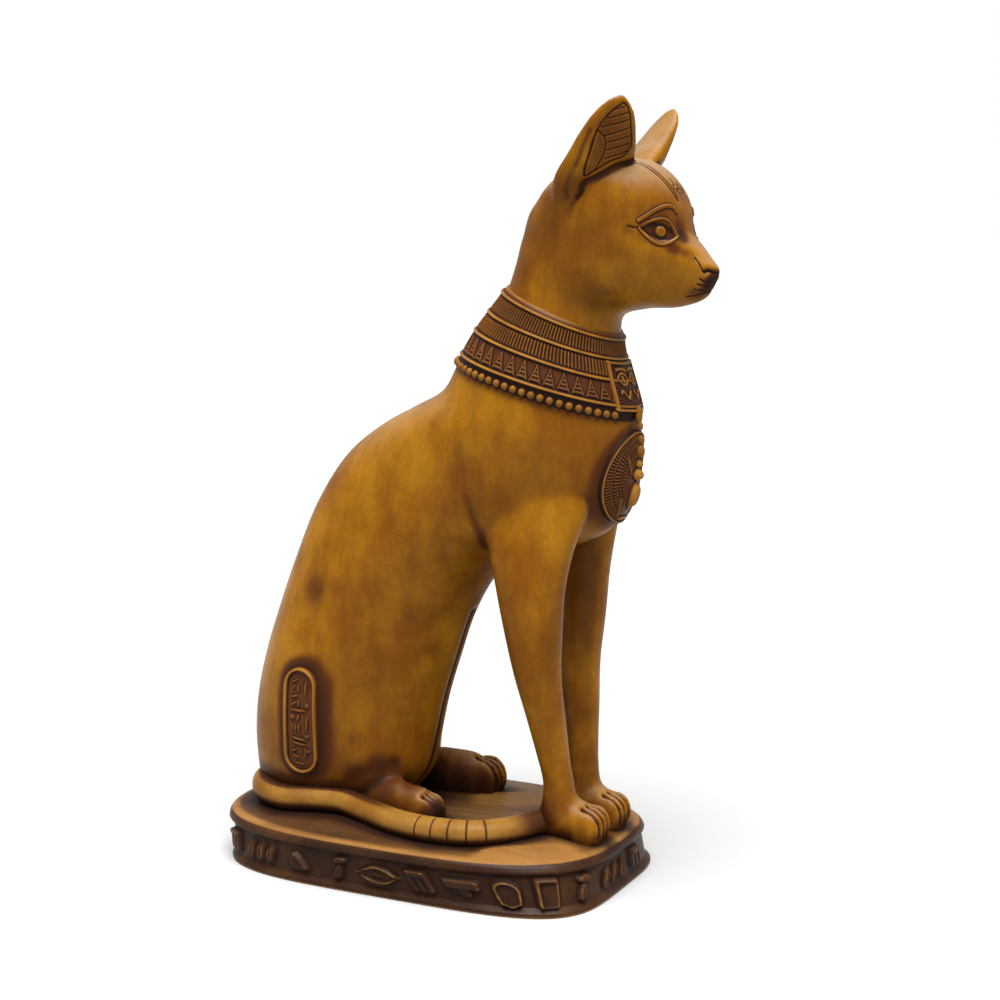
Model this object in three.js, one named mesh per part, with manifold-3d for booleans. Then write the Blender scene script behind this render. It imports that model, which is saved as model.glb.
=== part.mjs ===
// A seated cat with a broad collar and pendant, moulded in one with its low plinth.
// Millimetres, +Z up, +X the way the cat looks, origin at the middle of the plinth's underside.
import * as THREE from "three";
import { LoftGeometry } from "three/addons/geometries/LoftGeometry.js";
import { mergeVertices } from "three/addons/utils/BufferGeometryUtils.js";
import Module from "manifold-3d";

const wasm = await Module();
wasm.setup();

// Sizes of the cat
const figureHeight = 560; // from the plinth's top to the ear tips
const sink = 3; // how far feet, rump and tail run into the plinth

// Sizes of the plinth
const plinthLength = 342;
const plinthWidth = 220;
const plinthHeight = 40;
const ledgeHeight = 9;
const ledgeRound = 3;
const domeRise = 4.5; // how far the top swells up from its edge
const domeReach = 45; // and how far in it does
const bandDepth = 3.5; // the frieze ground lies this far behind the ledge
const bandSlope = 1.5; // height of the slope from the ledge to the frieze ground
const footHeight = 4;
const footWidth = 212;
const frontCorner = [4.5, 2.9]; // superellipse powers at the foot and at the rim: higher is squarer
const rearCorner = [3.6, 2.8];
const footRear = 160; // from the origin back to the foot's rear end

// Sizes of the frieze
const tokenHeight = 21;
const tokenWidth = 17;
const tokenProud = 4.5;

// Sizes of the collar, pendant and cartouche
const collarProud = 2.2; // rows stand this far out from the neck
const bandProud = 4.6; // raised bands between the rows
const bandHalf = 0.028; // half a band's height, as a share of the collar's depth
const bandEdge = 0.01; // and the slope at its edges
const beadCount = 56;
const beadRadius = 3.1;
const plaqueProud = 5.5;
const plaqueReach = 0.42; // angle from the front to either side
const plaqueFrom = -0.06; // shares of the collar's depth, from its bottom to its top
const plaqueTo = 0.68;
const pendantRadius = 36;
const pendantNarrow = 0.89; // its width as a share of its height
const pendantCentre = figureHeight * 0.504; // above the plinth
const pendantProud = 5.5;
const linkRadius = 2.8;
const linkLength = 9;
const cartoucheX = figureHeight * -0.154; // along the body
const cartoucheZ = figureHeight * 0.141; // above the plinth
const cartoucheWidth = 37;
const cartoucheHeight = 90;
const cartoucheProud = 3.5;
const cartoucheRim = 5;

// Sizes of the tail
const tailRadius = 10.5;
const tailRings = 5;
const tailRingsFrom = 0.69; // shares of the tail's length
const tailRingsTo = 0.845;
const ringHalf = 0.006;
const ringDepth = 0.9;

// Solids

// Turns a closed geometry into a solid that can be joined and cut.
function solid(geometry) {
  const bare = new THREE.BufferGeometry();
  bare.setAttribute("position", geometry.getAttribute("position"));
  bare.setIndex(geometry.getIndex());
  const merged = mergeVertices(bare, 1e-3);
  return new wasm.Manifold(
    new wasm.Mesh({
      numProp: 3,
      vertProperties: merged.attributes.position.array,
      triVerts: new Uint32Array(merged.index.array),
    }),
  );
}

const loft = (sections) => solid(new LoftGeometry(sections, { capStart: true, capEnd: true }));

// Turns a solid back into a geometry that three.js draws.
function geometryOf(shape) {
  const mesh = shape.getMesh();
  const geometry = new THREE.BufferGeometry();
  geometry.setAttribute("position", new THREE.BufferAttribute(mesh.vertProperties, 3));
  geometry.setIndex(new THREE.BufferAttribute(mesh.triVerts, 1));
  geometry.computeVertexNormals();
  return geometry;
}

// Smooth track through stations, each a row of numbers; the first places of a row are points in space
// that set the spacing. shares lists where the stations lie, and at(u) gives the row at share u.
function track(stations, places) {
  const knots = [0];
  for (let i = 1; i < stations.length; i++) {
    const squares = places.map((k) => (stations[i][k] - stations[i - 1][k]) ** 2);
    knots.push(knots[i - 1] + Math.sqrt(squares.reduce((sum, q) => sum + q)));
  }
  const last = stations.length - 1;
  const rise = (i, k) => (stations[i + 1][k] - stations[i][k]) / (knots[i + 1] - knots[i]);
  const slope = (i, k) => {
    if (i === 0) return rise(0, k);
    if (i === last) return rise(last - 1, k);
    const before = knots[i] - knots[i - 1];
    const after = knots[i + 1] - knots[i];
    return (after * rise(i - 1, k) + before * rise(i, k)) / (before + after);
  };
  return {
    shares: knots.map((knot) => knot / knots[last]),
    at(u) {
      const where = Math.min(Math.max(u, 0), 1) * knots[last];
      const i = Math.min(Math.max(knots.findIndex((knot) => knot > where) - 1, 0), last - 1);
      const from = where === knots[last] ? last - 1 : i;
      const step = knots[from + 1] - knots[from];
      const f = (where - knots[from]) / step;
      return stations[from].map((b, k) => {
        const slopeIn = slope(from, k) * step;
        const slopeOut = slope(from + 1, k) * step;
        const d = stations[from + 1][k] - b;
        return b + f * (slopeIn + f * (3 * d - 2 * slopeIn - slopeOut + f * (slopeIn + slopeOut - 2 * d)));
      });
    },
  };
}

// Signed power, the superellipse's rounding of a sine or cosine.
const power = (value, exponent) => Math.sign(value) * Math.abs(value) ** (2 / exponent);

// Cat, trunk and head: stations are chords through the cat's middle plane, each with the back end (x, z),
// the front end (x, z), the half width, and the superellipse powers of the front and back halves.
const beadStation = 13;
const throatStation = 17;
const trunkTrack = track(
  [
    [-150, 0, -30, 0, 46, 1.8, 2.2],
    [-156, 16, -18, 14, 54, 2.2, 2.2],
    [-158, 36, -2, 34, 61, 2.0, 2.2],
    [-158, 62, 7, 64, 66, 1.6, 2.2],
    [-154, 92, 15, 96, 69, 1.5, 2.2],
    [-146, 125, 26, 130, 69, 1.5, 2.2],
    [-134, 162, 39, 166, 66, 1.55, 2.2],
    [-118, 206, 60, 200, 62, 1.7, 2.2],
    [-98, 252, 90, 220, 59, 1.9, 2.2],
    [-68, 294, 126, 226, 58, 2.0, 2.2],
    [-35, 318, 156, 241, 59, 2.0, 2.2],
    [-7, 332, 171, 266, 60, 2.0, 2.2],
    [20, 347, 176, 300, 60, 2.0, 2.1],
    [32, 367, 175, 326, 57, 2.0, 2.1],
    [38, 375, 173, 336, 56, 2.0, 2.1],
    [49, 392, 167, 354, 52, 2.1, 2.1],
    [61, 407, 162, 371, 48, 2.1, 2.1],
    [73, 422, 160, 386, 44, 2.1, 2.1],
    [81, 443, 164, 403, 42, 2.0, 2.1],
    [84, 456, 184, 408, 43, 1.8, 2.1],
    [87, 467, 214, 410, 45, 1.5, 2.1],
    [90, 475, 232, 417, 46, 1.4, 2.1],
    [94, 482, 242, 433, 47, 1.4, 2.1],
    [99, 491, 233, 447, 48, 1.5, 2.1],
    [106, 499, 219, 464, 48, 2.0, 2.1],
    [118, 507, 215, 482, 46, 2.3, 2.1],
    [135, 513, 207, 499, 40, 2.2, 2.1],
    [151, 518, 196, 511, 29, 2.1, 2.1],
    [168, 520, 186, 517, 13, 2.0, 2.0],
  ],
  [0, 1, 2, 3],
);

// Shares of the trunk from the collar's lowest band to its highest, and where its four raised bands lie.
const collarShare = (part) => {
  const low = trunkTrack.shares[beadStation + 1];
  return low + part * (trunkTrack.shares[throatStation] - low);
};
const collarBands = [0, 0.38, 0.7, 1];

// Point of the trunk's skin at share u, turned by angle from the front, standing out by grow.
function trunkPoint(u, angle, grow = 0) {
  const [bx, bz, fx, fz, width, front, back] = trunkTrack.at(u);
  const chord = new THREE.Vector2(fx - bx, fz - bz).multiplyScalar(s / 2);
  const along = chord.clone().normalize();
  const exponent = Math.cos(angle) >= 0 ? front : back;
  const forward = power(Math.cos(angle), exponent) * (chord.length() + grow);
  return new THREE.Vector3(
    ((bx + fx) / 2) * s + along.x * forward,
    power(Math.sin(angle), exponent) * (width * s + grow),
    plinthHeight + ((bz + fz) / 2) * s + along.y * forward,
  );
}

const angles = (count) => Array.from({ length: count }, (_, i) => (i / count) * 2 * Math.PI);
const shares = (count) => Array.from({ length: count + 1 }, (_, i) => i / count);

// One row at each station of the trunk, and two for each of the head.
function trunk() {
  const stationShares = trunkTrack.shares.flatMap((share, i, all) =>
    i > throatStation && i < all.length - 1 ? [share, (share + all[i + 1]) / 2] : [share],
  );
  const rows = stationShares.map((u) => angles(24).map((a) => trunkPoint(u, a)));
  rows[0].forEach((p) => (p.z = plinthHeight - sink));
  return loft(rows);
}

// Limb along any path: stations are the centre (x, y, z), then half sizes across the two section axes.
function limb(stations, rows, columns, section) {
  const path = track(stations, [0, 1, 2]);
  return loft(
    shares(rows).map((u) => {
      const [x, y, z, a, b] = path.at(u);
      const centre = new THREE.Vector3(x * s, y * s, plinthHeight + z * s);
      return angles(columns).map((t) => section(centre, a * s, b * s, t));
    }),
  );
}

// Level section: half size a along X and b along Y.
const level = (centre, a, b, t) =>
  new THREE.Vector3(centre.x + a * Math.cos(t), centre.y + b * Math.sin(t), centre.z);

// Upright section across X: half size a along Y and b along Z.
const upright = (centre, a, b, t) =>
  new THREE.Vector3(centre.x, centre.y + a * Math.cos(t), centre.z + b * Math.sin(t));

// Foreleg, from the paw up into the shoulder; side is -1 for the cat's right and 1 for its left.
function foreleg(side) {
  return limb(
    [
      [125, 24 * side, 18, 15, 15],
      [125, 24 * side, 42, 12.5, 13.5],
      [122, 28 * side, 65, 12.8, 13.5],
      [118, 33 * side, 95, 15, 15.5],
      [113, 38 * side, 130, 18.5, 18],
      [111, 42 * side, 165, 23, 20.5],
      [109, 43 * side, 198, 28, 21],
      [108, 40 * side, 230, 36, 20.5],
      [108, 32 * side, 262, 44, 21],
      [104, 22 * side, 298, 44, 22],
    ],
    12,
    12,
    level,
  );
}

// Paws: heel and toe along X and along Y, height, and half width. The right hind paw is tucked in
// further under the haunch than the left one.
const paws = [
  [[104, 165], [-21, -21], 33, 17.5],
  [[104, 165], [21, 21], 33, 17.5],
  [[-16, 33], [-37, -41], 31, 14],
  [[-34, 39], [44, 57], 39, 16],
];

// A tapering instep with four round toes at its front.
function paw([heel, toe], [heelOut, toeOut], height, halfWidth) {
  const length = toe - heel;
  const sections = [
    [0, 0.4, 0.5, 0.4],
    [0.12, 0.44, 0.8, 0.5],
    [0.4, 0.43, 0.95, 0.54],
    [0.7, 0.38, 1, 0.54],
    [0.88, 0.32, 0.86, 0.46],
  ].map(([share, middle, wide, tall]) => {
    const out = heelOut + share * (toeOut - heelOut);
    return [heel + length * share, out, height * middle, halfWidth * wide, height * tall];
  });
  const shape = limb(sections, 6, 10, upright);
  const toes = [-0.72, -0.25, 0.25, 0.72].map((place) => {
    const radius = halfWidth * 0.34;
    const reach = length * (0.3 - 0.1 * Math.abs(place));
    const ball = new THREE.SphereGeometry(1, 7, 5);
    ball.rotateX(Math.PI / 2);
    ball.scale(reach * s, radius * s, height * 0.44 * s);
    ball.translate(
      (toe - reach - Math.abs(place) * length * 0.05) * s,
      (toeOut + place * halfWidth) * s,
      plinthHeight + height * 0.34 * s,
    );
    return solid(ball);
  });
  return toes.reduce((sum, t) => sum.add(t), shape);
}

// Ear: a leaf-shaped blade. Stations are chords from its front edge (x, y, z) to its back edge (x, y, z),
// with the half thickness, from the root up to the tip.
const earTrack = track(
  [
    [172, 14, 498, 116, 32, 460, 16],
    [180, 19, 514, 122, 43, 481, 15],
    [185, 27, 525, 133, 53, 501, 13],
    [188, 34, 534, 144, 56, 519, 9.5],
    [190, 40, 543, 154.5, 58, 534, 6.8],
    [190, 46, 551, 166, 58, 548, 4.4],
    [187.5, 50, 557, 176, 55.5, 556.5, 2.3],
    [184.5, 52, 560, 183.5, 52.5, 560, 0.6],
  ],
  [0, 1, 2, 3, 4, 5],
);

// The stations of the cat are written for the height of this ear's tip, and s brings them to figureHeight.
const s = figureHeight / earTrack.at(1)[2];

function ear(side) {
  const point = (x, y, z) => new THREE.Vector3(x * s, y * side * s, plinthHeight + z * s);
  const axis = point(...earTrack.at(1)).sub(point(...earTrack.at(0)));
  return loft(
    shares(7).map((u) => {
      const row = earTrack.at(u);
      const front = point(...row.slice(0, 3));
      const back = point(...row.slice(3, 6));
      const centre = front.clone().lerp(back, 0.5);
      const broad = front.clone().sub(centre);
      const thin = new THREE.Vector3().crossVectors(axis, broad).setLength(row[6] * s);
      return angles(10).map((t) =>
        centre.clone().addScaledVector(broad, Math.cos(t)).addScaledVector(thin, Math.sin(t)),
      );
    }),
  );
}

// Tail: from the rump's left rear along the cat's right side to the right forepaw, with rings near its end.
const tailPath = [
  [-120, -8, 16],
  [-143, -26, 15],
  [-134, -44, 13],
  [-102, -61, 12],
  [-76, -57, 13],
  [-52, -54, 13],
  [-22, -63, 11],
  [10, -75, 10],
  [45, -80, 10],
  [75, -74, 10],
  [97, -53, 10],
  [112, -28, 12],
];

function tail() {
  const curve = new THREE.CatmullRomCurve3(
    tailPath.map(([x, y, z]) => new THREE.Vector3(x * s, y * s, plinthHeight + z * s)),
    false,
    "centripetal",
  );
  const steps = shares(26);
  for (const k of shares(tailRings - 1)) {
    const ring = tailRingsFrom + k * (tailRingsTo - tailRingsFrom);
    steps.push(ring - ringHalf, ring, ring + ringHalf);
  }
  steps.sort((p, q) => p - q);
  const up = new THREE.Vector3(0, 0, 1);
  return loft(
    steps.map((u) => {
      const centre = curve.getPointAt(u);
      const across = new THREE.Vector3().crossVectors(curve.getTangentAt(u), up).normalize();
      const along = curve.getTangentAt(u);
      const high = new THREE.Vector3().crossVectors(across, along);
      const isRing = shares(tailRings - 1).some(
        (k) => Math.abs(u - tailRingsFrom - k * (tailRingsTo - tailRingsFrom)) < ringHalf / 2,
      );
      const radius = tailRadius * s - (isRing ? ringDepth : 0);
      return angles(7).map((t) =>
        centre
          .clone()
          .addScaledVector(across, -radius * Math.cos(t))
          .addScaledVector(high, radius * Math.sin(t)),
      );
    }),
  );
}

// Relief on the trunk
const under = -6; // how far reliefs run into the body

// Closed loft over the whole way round the trunk, standing out by the given rises at the given shares.
function girdle(profile, columns) {
  return loft(profile.map(([u, rise]) => angles(columns).map((a) => trunkPoint(u, a, rise))));
}

// The bead row hangs under the lowest band: each bead is a swell between two pinches.
const beadRow = -0.12;
const beadSpread = 0.06;

function collar() {
  const foot = bandHalf + bandEdge;
  const profile = [[collarShare(beadRow), -1]];
  collarBands.forEach((band) => {
    profile.push([collarShare(band - foot), collarProud]);
    profile.push([collarShare(band - bandHalf), bandProud]);
    profile.push([collarShare(band + bandHalf), bandProud]);
    profile.push([collarShare(band + foot), band < 1 ? collarProud : -1]);
  });
  const beads = [
    [-1, under],
    [-0.6, 0.8],
    [0.6, 0.8],
    [1, 0],
  ].map(([up, rise]) =>
    angles(beadCount * 2).map((a, i) => {
      const gap = i % 2 ? 0.35 : 1;
      return trunkPoint(collarShare(beadRow + beadSpread * up * gap), a, beadRadius * 1.5 * rise * gap);
    }),
  );
  return girdle(profile, 32).add(loft(beads));
}

// Plaque on the collar's front: a square patch of the trunk, standing out.
function plaque() {
  return loft(
    shares(3).map((k) => {
      const part = plaqueFrom + k * (plaqueTo - plaqueFrom);
      const edge = (angle, rise) => trunkPoint(collarShare(part), angle * plaqueReach, rise);
      const outer = shares(6).map((k) => edge(2 * k - 1, plaqueProud));
      const inner = shares(6).map((k) => edge(1 - 2 * k, under));
      return [...outer, ...inner];
    }),
  );
}

// Point of the chest at width y and height z, standing out by rise: the trunk's share is found by halving.
function chestPoint(y, z, rise) {
  let low = trunkTrack.shares[8];
  let high = trunkTrack.shares[16];
  const angleAt = (u) => {
    const [, , , , width, front] = trunkTrack.at(u);
    return Math.asin(power(y / (width * s), 4 / front));
  };
  for (let i = 0; i < 24; i++) {
    const middle = (low + high) / 2;
    if (trunkPoint(middle, angleAt(middle)).z < z) low = middle;
    else high = middle;
  }
  return trunkPoint(low, angleAt(low), rise);
}

// Point of the trunk's right side at length x and height z, standing out by rise.
function flankPoint(x, z, rise) {
  let low = 0;
  let high = trunkTrack.shares[10];
  const chordAt = (u) => {
    const [bx, bz, fx, fz] = trunkTrack.at(u).map((value) => value * s);
    const along = new THREE.Vector2(fx - bx, fz - bz);
    const reach = new THREE.Vector2(x - (bx + fx) / 2, z - plinthHeight - (bz + fz) / 2);
    return { half: along.length() / 2, above: along.cross(reach), forward: along.normalize().dot(reach) };
  };
  for (let i = 0; i < 24; i++) {
    const middle = (low + high) / 2;
    if (chordAt(middle).above > 0) low = middle;
    else high = middle;
  }
  const { half, forward } = chordAt(low);
  const exponent = trunkTrack.at(low)[forward > 0 ? 5 : 6];
  return trunkPoint(low, -Math.acos(power(forward / half, 4 / exponent)), rise);
}

// Raised patch on a skin: a plate with a rim, whose outline shrinks through the given [share, rise] steps.
function patch(place, columns, steps) {
  return loft(steps.map(([share, rise]) => angles(columns).map((a) => place(a, share, rise))));
}

function pendant() {
  const disc = (a, share, rise) =>
    chestPoint(
      pendantRadius * pendantNarrow * share * Math.cos(a),
      plinthHeight + pendantCentre + pendantRadius * share * Math.sin(a),
      rise,
    );
  const plate = patch(disc, 20, [
    [1, under],
    [1, pendantProud * 0.7],
    [0.95, pendantProud],
    [0.88, pendantProud],
    [0.84, pendantProud * 0.5],
    [0.5, pendantProud * 0.6],
    [0.2, pendantProud * 0.8],
    [0.02, pendantProud * 0.8],
  ]);
  const balls = [
    [0.72, 3],
    [0.5, 4],
    [0.1, 6.5],
    [-0.25, 5],
  ].map(([place, radius]) => {
    const ball = new THREE.SphereGeometry(radius, 6, 5);
    const centre = disc(Math.PI / 2, place, pendantProud);
    ball.translate(centre.x, centre.y, centre.z);
    return solid(ball);
  });
  const links = [0, 1].map((i) => {
    const link = new THREE.CylinderGeometry(linkRadius, linkRadius, linkLength, 8);
    link.rotateX(Math.PI / 2);
    const top = plinthHeight + pendantCentre + pendantRadius;
    const centre = chestPoint(0, top + linkLength * (0.55 + i * 1.15), linkRadius);
    link.translate(centre.x, centre.y, centre.z);
    return solid(link);
  });
  return [...balls, ...links].reduce((sum, shape) => sum.add(shape), plate);
}

// Cartouche on the cat's right haunch: a long round-ended frame around a sunk field.
function cartouche() {
  const place = (a, share, rise) => {
    const inset = (1 - share) * cartoucheRim;
    const x = (cartoucheWidth / 2 - inset) * power(Math.cos(a), 2.6);
    const z = (cartoucheHeight / 2 - inset) * power(Math.sin(a), 2.6);
    return flankPoint(cartoucheX + x, plinthHeight + cartoucheZ + z, rise);
  };
  return patch(place, 16, [
    [1, under],
    [1, cartoucheProud * 0.6],
    [0.8, cartoucheProud],
    [0.3, cartoucheProud],
    [0, 0.6],
    [-1.2, 0.4],
  ]);
}

// Plinth

// Point of the plinth's outline at share up of its height: a superellipse, more bowed at the rim
// and squarer at the foot, pulled in by inset.
function outline(angle, up, inset) {
  const [foot, rim] = Math.cos(angle) >= 0 ? frontCorner : rearCorner;
  const corner = foot + (rim - foot) * up;
  const halfWidth = (footWidth + (plinthWidth - footWidth) * up) / 2;
  const rear = footRear + (plinthLength / 2 - footRear) * up;
  const halfLength = Math.cos(angle) >= 0 ? plinthLength / 2 : rear;
  return new THREE.Vector2(
    (halfLength - inset) * power(Math.cos(angle), corner),
    (halfWidth - inset) * power(Math.sin(angle), corner),
  );
}

function plinth() {
  const shoulder = plinthHeight - ledgeHeight;
  const profile = [
    [0, 0],
    [footHeight, 0],
    [footHeight + bandSlope, bandDepth],
    [shoulder - bandSlope, bandDepth],
    [shoulder, 0],
    [plinthHeight - ledgeRound, 0],
    [plinthHeight - ledgeRound * 0.3, ledgeRound * 0.3],
    [plinthHeight, ledgeRound],
    [plinthHeight + domeRise * 0.5, ledgeRound + domeReach * 0.4],
    [plinthHeight + domeRise, ledgeRound + domeReach],
  ];
  return loft(
    profile.map(([z, inset]) =>
      angles(40).map((a) => {
        const p = outline(a, Math.min(z / plinthHeight, 1), inset);
        return new THREE.Vector3(p.x, p.y, z);
      }),
    ),
  );
}

// Frieze: raised forms on the plinth's band, each a low block with a chamfered top.
// A kind is its width, height, superellipse power and, for forms that taper, its width at the top.
const kinds = {
  bar: [0.5, 1, 2.6, 1],
  wedge: [1.5, 0.95, 1.8, 0.5],
  vase: [0.85, 1, 2.2, 0.6],
  lozenge: [1.9, 0.75, 1.5, 1],
  square: [1.3, 0.85, 5, 1],
  beam: [2.0, 0.75, 6, 1],
  dome: [1.6, 0.9, 3, 0.8],
  tablet: [1.1, 1.15, 6, 0.9],
};

// Half of the frieze: place along the outline in millimetres from the middle of the right side, and kind.
// The other half is the same, counted from the middle of the left side.
const friezeHalf = [
  [-140, "square"],
  [-112, "bar"],
  [-101, "bar"],
  [-90, "bar"],
  [-60, "wedge"],
  [-24, "vase"],
  [10, "lozenge"],
  [46, "square"],
  [82, "beam"],
  [116, "dome"],
  [146, "tablet"],
  [176, "vase"],
  [206, "bar"],
  [220, "bar"],
  [234, "bar"],
  [262, "square"],
];

function token(along, [width, height, corner, top], half) {
  const middle = (plinthHeight - ledgeHeight + footHeight) / 2;
  const up = middle / plinthHeight;
  const steps = 400;
  const start = (-half * Math.PI) / 2;
  const line = shares(steps).map((k) => outline((k - 0.5) * 2 * Math.PI + start, up, bandDepth));
  let i = steps / 2;
  const way = Math.sign(along);
  for (let gone = 0; gone < Math.abs(along); i += way) gone += line[i].distanceTo(line[i + way]);
  const ahead = line[i + 1].clone().sub(line[i - 1]).normalize();
  const out = new THREE.Vector2(ahead.y, -ahead.x);
  const section = (rise, shrink) =>
    angles(8).map((a) => {
      const turn = a + Math.PI / 8;
      const v = power(Math.sin(turn), corner);
      const taper = 1 + (top - 1) * (v + 1) * 0.5;
      const across = tokenWidth * 0.5 * width * shrink * taper * power(Math.cos(turn), corner);
      const p = line[i].clone().addScaledVector(ahead, across).addScaledVector(out, rise);
      return new THREE.Vector3(p.x, p.y, middle + tokenHeight * 0.5 * height * shrink * v);
    });
  return loft([section(-bandDepth, 1), section(tokenProud, 0.8)]);
}

const frieze = () =>
  [1, -1].flatMap((half) => friezeHalf.map(([along, kind]) => token(along, kinds[kind], half)));

const parts = [
  plinth(),
  trunk(),
  collar(),
  plaque(),
  pendant(),
  cartouche(),
  tail(),
  ...frieze(),
  ...paws.map((row) => paw(...row)),
  ...[-1, 1].flatMap((side) => [foreleg(side), ear(side)]),
];

const resin = new THREE.MeshStandardMaterial({ color: 0xa87a2c, roughness: 0.45, metalness: 0 });
const cat = new THREE.Mesh(geometryOf(parts.reduce((sum, part) => sum.add(part))), resin);
cat.name = "bastet_cat";

const figure = new THREE.Group();
figure.add(cat);

export default figure;
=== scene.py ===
import bmesh
import bpy
import numpy as np
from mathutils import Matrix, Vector


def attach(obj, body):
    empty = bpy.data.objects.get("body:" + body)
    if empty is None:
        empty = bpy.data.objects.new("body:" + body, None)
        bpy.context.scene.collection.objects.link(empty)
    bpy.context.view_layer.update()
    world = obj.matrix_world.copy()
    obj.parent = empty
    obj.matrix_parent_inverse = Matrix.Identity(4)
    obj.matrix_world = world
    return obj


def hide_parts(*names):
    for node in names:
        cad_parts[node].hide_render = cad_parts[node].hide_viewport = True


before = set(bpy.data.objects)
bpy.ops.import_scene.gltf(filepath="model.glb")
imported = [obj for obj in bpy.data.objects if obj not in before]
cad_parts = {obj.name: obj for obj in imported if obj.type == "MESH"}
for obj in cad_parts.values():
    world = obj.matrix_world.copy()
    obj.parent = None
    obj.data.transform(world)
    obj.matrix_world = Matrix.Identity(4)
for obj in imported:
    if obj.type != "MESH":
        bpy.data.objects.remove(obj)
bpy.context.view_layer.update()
scene = bpy.context.scene

# Camera
# The view is of the cat's right side, from a little ahead of it and a little above its plinth.
sight = np.array([0.062, 0, 0.298])
sight_turn, sight_rise, sight_distance, sight_lens = np.radians(26.4), np.radians(6.8), 1.366, 62.46
back = np.array([
    np.sin(sight_turn) * np.cos(sight_rise),
    -np.cos(sight_turn) * np.cos(sight_rise),
    np.sin(sight_rise),
])
camera = bpy.data.objects.new("camera", bpy.data.cameras.new("camera"))
camera.data.lens = sight_lens
camera.location = sight + sight_distance * back
camera.rotation_euler = Vector(back).to_track_quat("Z", "Y").to_euler()
scene.collection.objects.link(camera)
scene.camera = camera
scene.view_settings.view_transform = "Standard"

# Studio
# A pale floor as wide as the view, under a white sky and one broad soft light from above.
floor_radius, floor_sides, floor_drop = 60, 128, 0.0003  # the drop keeps it just under the plinth
floor_near, floor_far = 0.36, 0.40  # how pale the floor is under the cat, and where it meets the sky
fade_start, fade_end = 0.3, 3.0  # distances from the cat between which the floor turns paler
sun_strength, sun_spread, sun_from = 8.5, np.radians(50), (0.15, -0.3, 1.0)
sky_light, sky_seen = 0.55, 1.0  # strengths of the sky as a light, and as the background
turn = np.linspace(0, 2 * np.pi, floor_sides, endpoint=False)
rim = np.stack([floor_radius * np.cos(turn), floor_radius * np.sin(turn), 0 * turn - floor_drop], -1)
floor_mesh = bpy.data.meshes.new("floor")
floor_mesh.from_pydata(rim.tolist(), [], [list(range(floor_sides))])
floor = bpy.data.objects.new("floor", floor_mesh)
scene.collection.objects.link(floor)
paper = bpy.data.materials.new("paper")
paper.use_nodes = True
paper_nodes, paper_links = paper.node_tree.nodes, paper.node_tree.links
paper_shader = paper_nodes["Principled BSDF"]
paper_shader.inputs["Roughness"].default_value = 0.95
paper_shader.inputs["Specular IOR Level"].default_value = 0.0
place = paper_nodes.new("ShaderNodeTexCoord")
distance = paper_nodes.new("ShaderNodeVectorMath")
distance.operation = "LENGTH"
paper_links.new(place.outputs["Object"], distance.inputs[0])
pale = paper_nodes.new("ShaderNodeMapRange")
pale.interpolation_type = "SMOOTHSTEP"
for name, value in (("From Min", fade_start), ("From Max", fade_end),
                    ("To Min", floor_near), ("To Max", floor_far)):
    pale.inputs[name].default_value = value
paper_links.new(distance.outputs["Value"], pale.inputs["Value"])
paper_links.new(pale.outputs["Result"], paper_shader.inputs["Base Color"])
floor_mesh.materials.append(paper)

sun = bpy.data.objects.new("sun", bpy.data.lights.new("sun", "SUN"))
sun.data.energy, sun.data.angle = sun_strength, sun_spread
sun.rotation_euler = Vector(sun_from).to_track_quat("Z", "Y").to_euler()
scene.collection.objects.link(sun)
world = bpy.data.worlds.new("sky")
world.use_nodes = True
sky = world.node_tree.nodes["Background"]
sky.inputs["Color"].default_value = (1, 1, 1, 1)
seen = world.node_tree.nodes.new("ShaderNodeLightPath").outputs["Is Camera Ray"]
strength = world.node_tree.nodes.new("ShaderNodeMapRange")
strength.inputs["To Min"].default_value, strength.inputs["To Max"].default_value = sky_light, sky_seen
world.node_tree.links.new(seen, strength.inputs["Value"])
world.node_tree.links.new(strength.outputs["Result"], sky.inputs["Strength"])
scene.world = world

# Plinth
# The low oblong block under the cat, cast in one with it: a rounded ledge, a sunk band with a row of
# raised forms all the way round, and a small foot. It is stained dark brown and rubbed ochre on its edges,
# with painted shadow on its top by the tail, the paws and the rump.
plinth_length, plinth_width, plinth_height = 342, 220, 40
foot_width, foot_rear, foot_height = 212, 160, 4
front_corner, rear_corner = (4.5, 2.9), (3.6, 2.8)  # superellipse powers at the foot and at the rim
ledge_height, ledge_round, band_depth = 9, 7, 3.5
dome_rise, dome_reach = 4.5, 45  # how far the top swells up, and how far in from its edge
token_height, token_width, token_proud = 21, 17, 4.5
token_kinds = {  # width and height, as shares of those above
    "bar": (0.5, 1), "wedge": (1.5, 0.95), "vase": (0.85, 1), "lozenge": (1.9, 0.75),
    "square": (1.3, 0.85), "beam": (2.0, 0.75), "dome": (1.6, 0.9), "tablet": (1.1, 1.15),
}
token_places = [  # along the outline from the middle of a long side, towards the cat's front on its right
    (-140, "square"), (-112, "bar"), (-101, "bar"), (-90, "bar"), (-60, "wedge"), (-24, "vase"),
    (10, "lozenge"), (46, "square"), (82, "beam"), (116, "dome"), (146, "tablet"), (176, "vase"),
    (206, "bar"), (220, "bar"), (234, "bar"), (262, "square"),
]
tail_path = [  # it lies on the plinth, and painted shadow lies beside it on the plinth and on the body
    [-120, -8, 16], [-143, -26, 15], [-134, -44, 13], [-102, -61, 12], [-76, -57, 13], [-52, -54, 13],
    [-22, -63, 11], [10, -75, 10], [45, -80, 10], [75, -74, 10], [97, -53, 10], [112, -28, 12],
]
tail_radius = 10.5
paws = [  # heel and toe along X and along Y, height, half width
    [(109, 165), (-21, -21), 33, 17.5], [(109, 165), (21, 21), 33, 17.5],
    [(-16, 33), (-37, -41), 31, 14], [(-34, 39), (44, 57), 39, 16],
]
tail_shadow_reach, paw_shadow_reach, rump_shadow_reach = 19, 31, 74  # how far painted shadow spreads on the top from each of them
rump_line = [(-120, 0), (-30, 0)]
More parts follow.
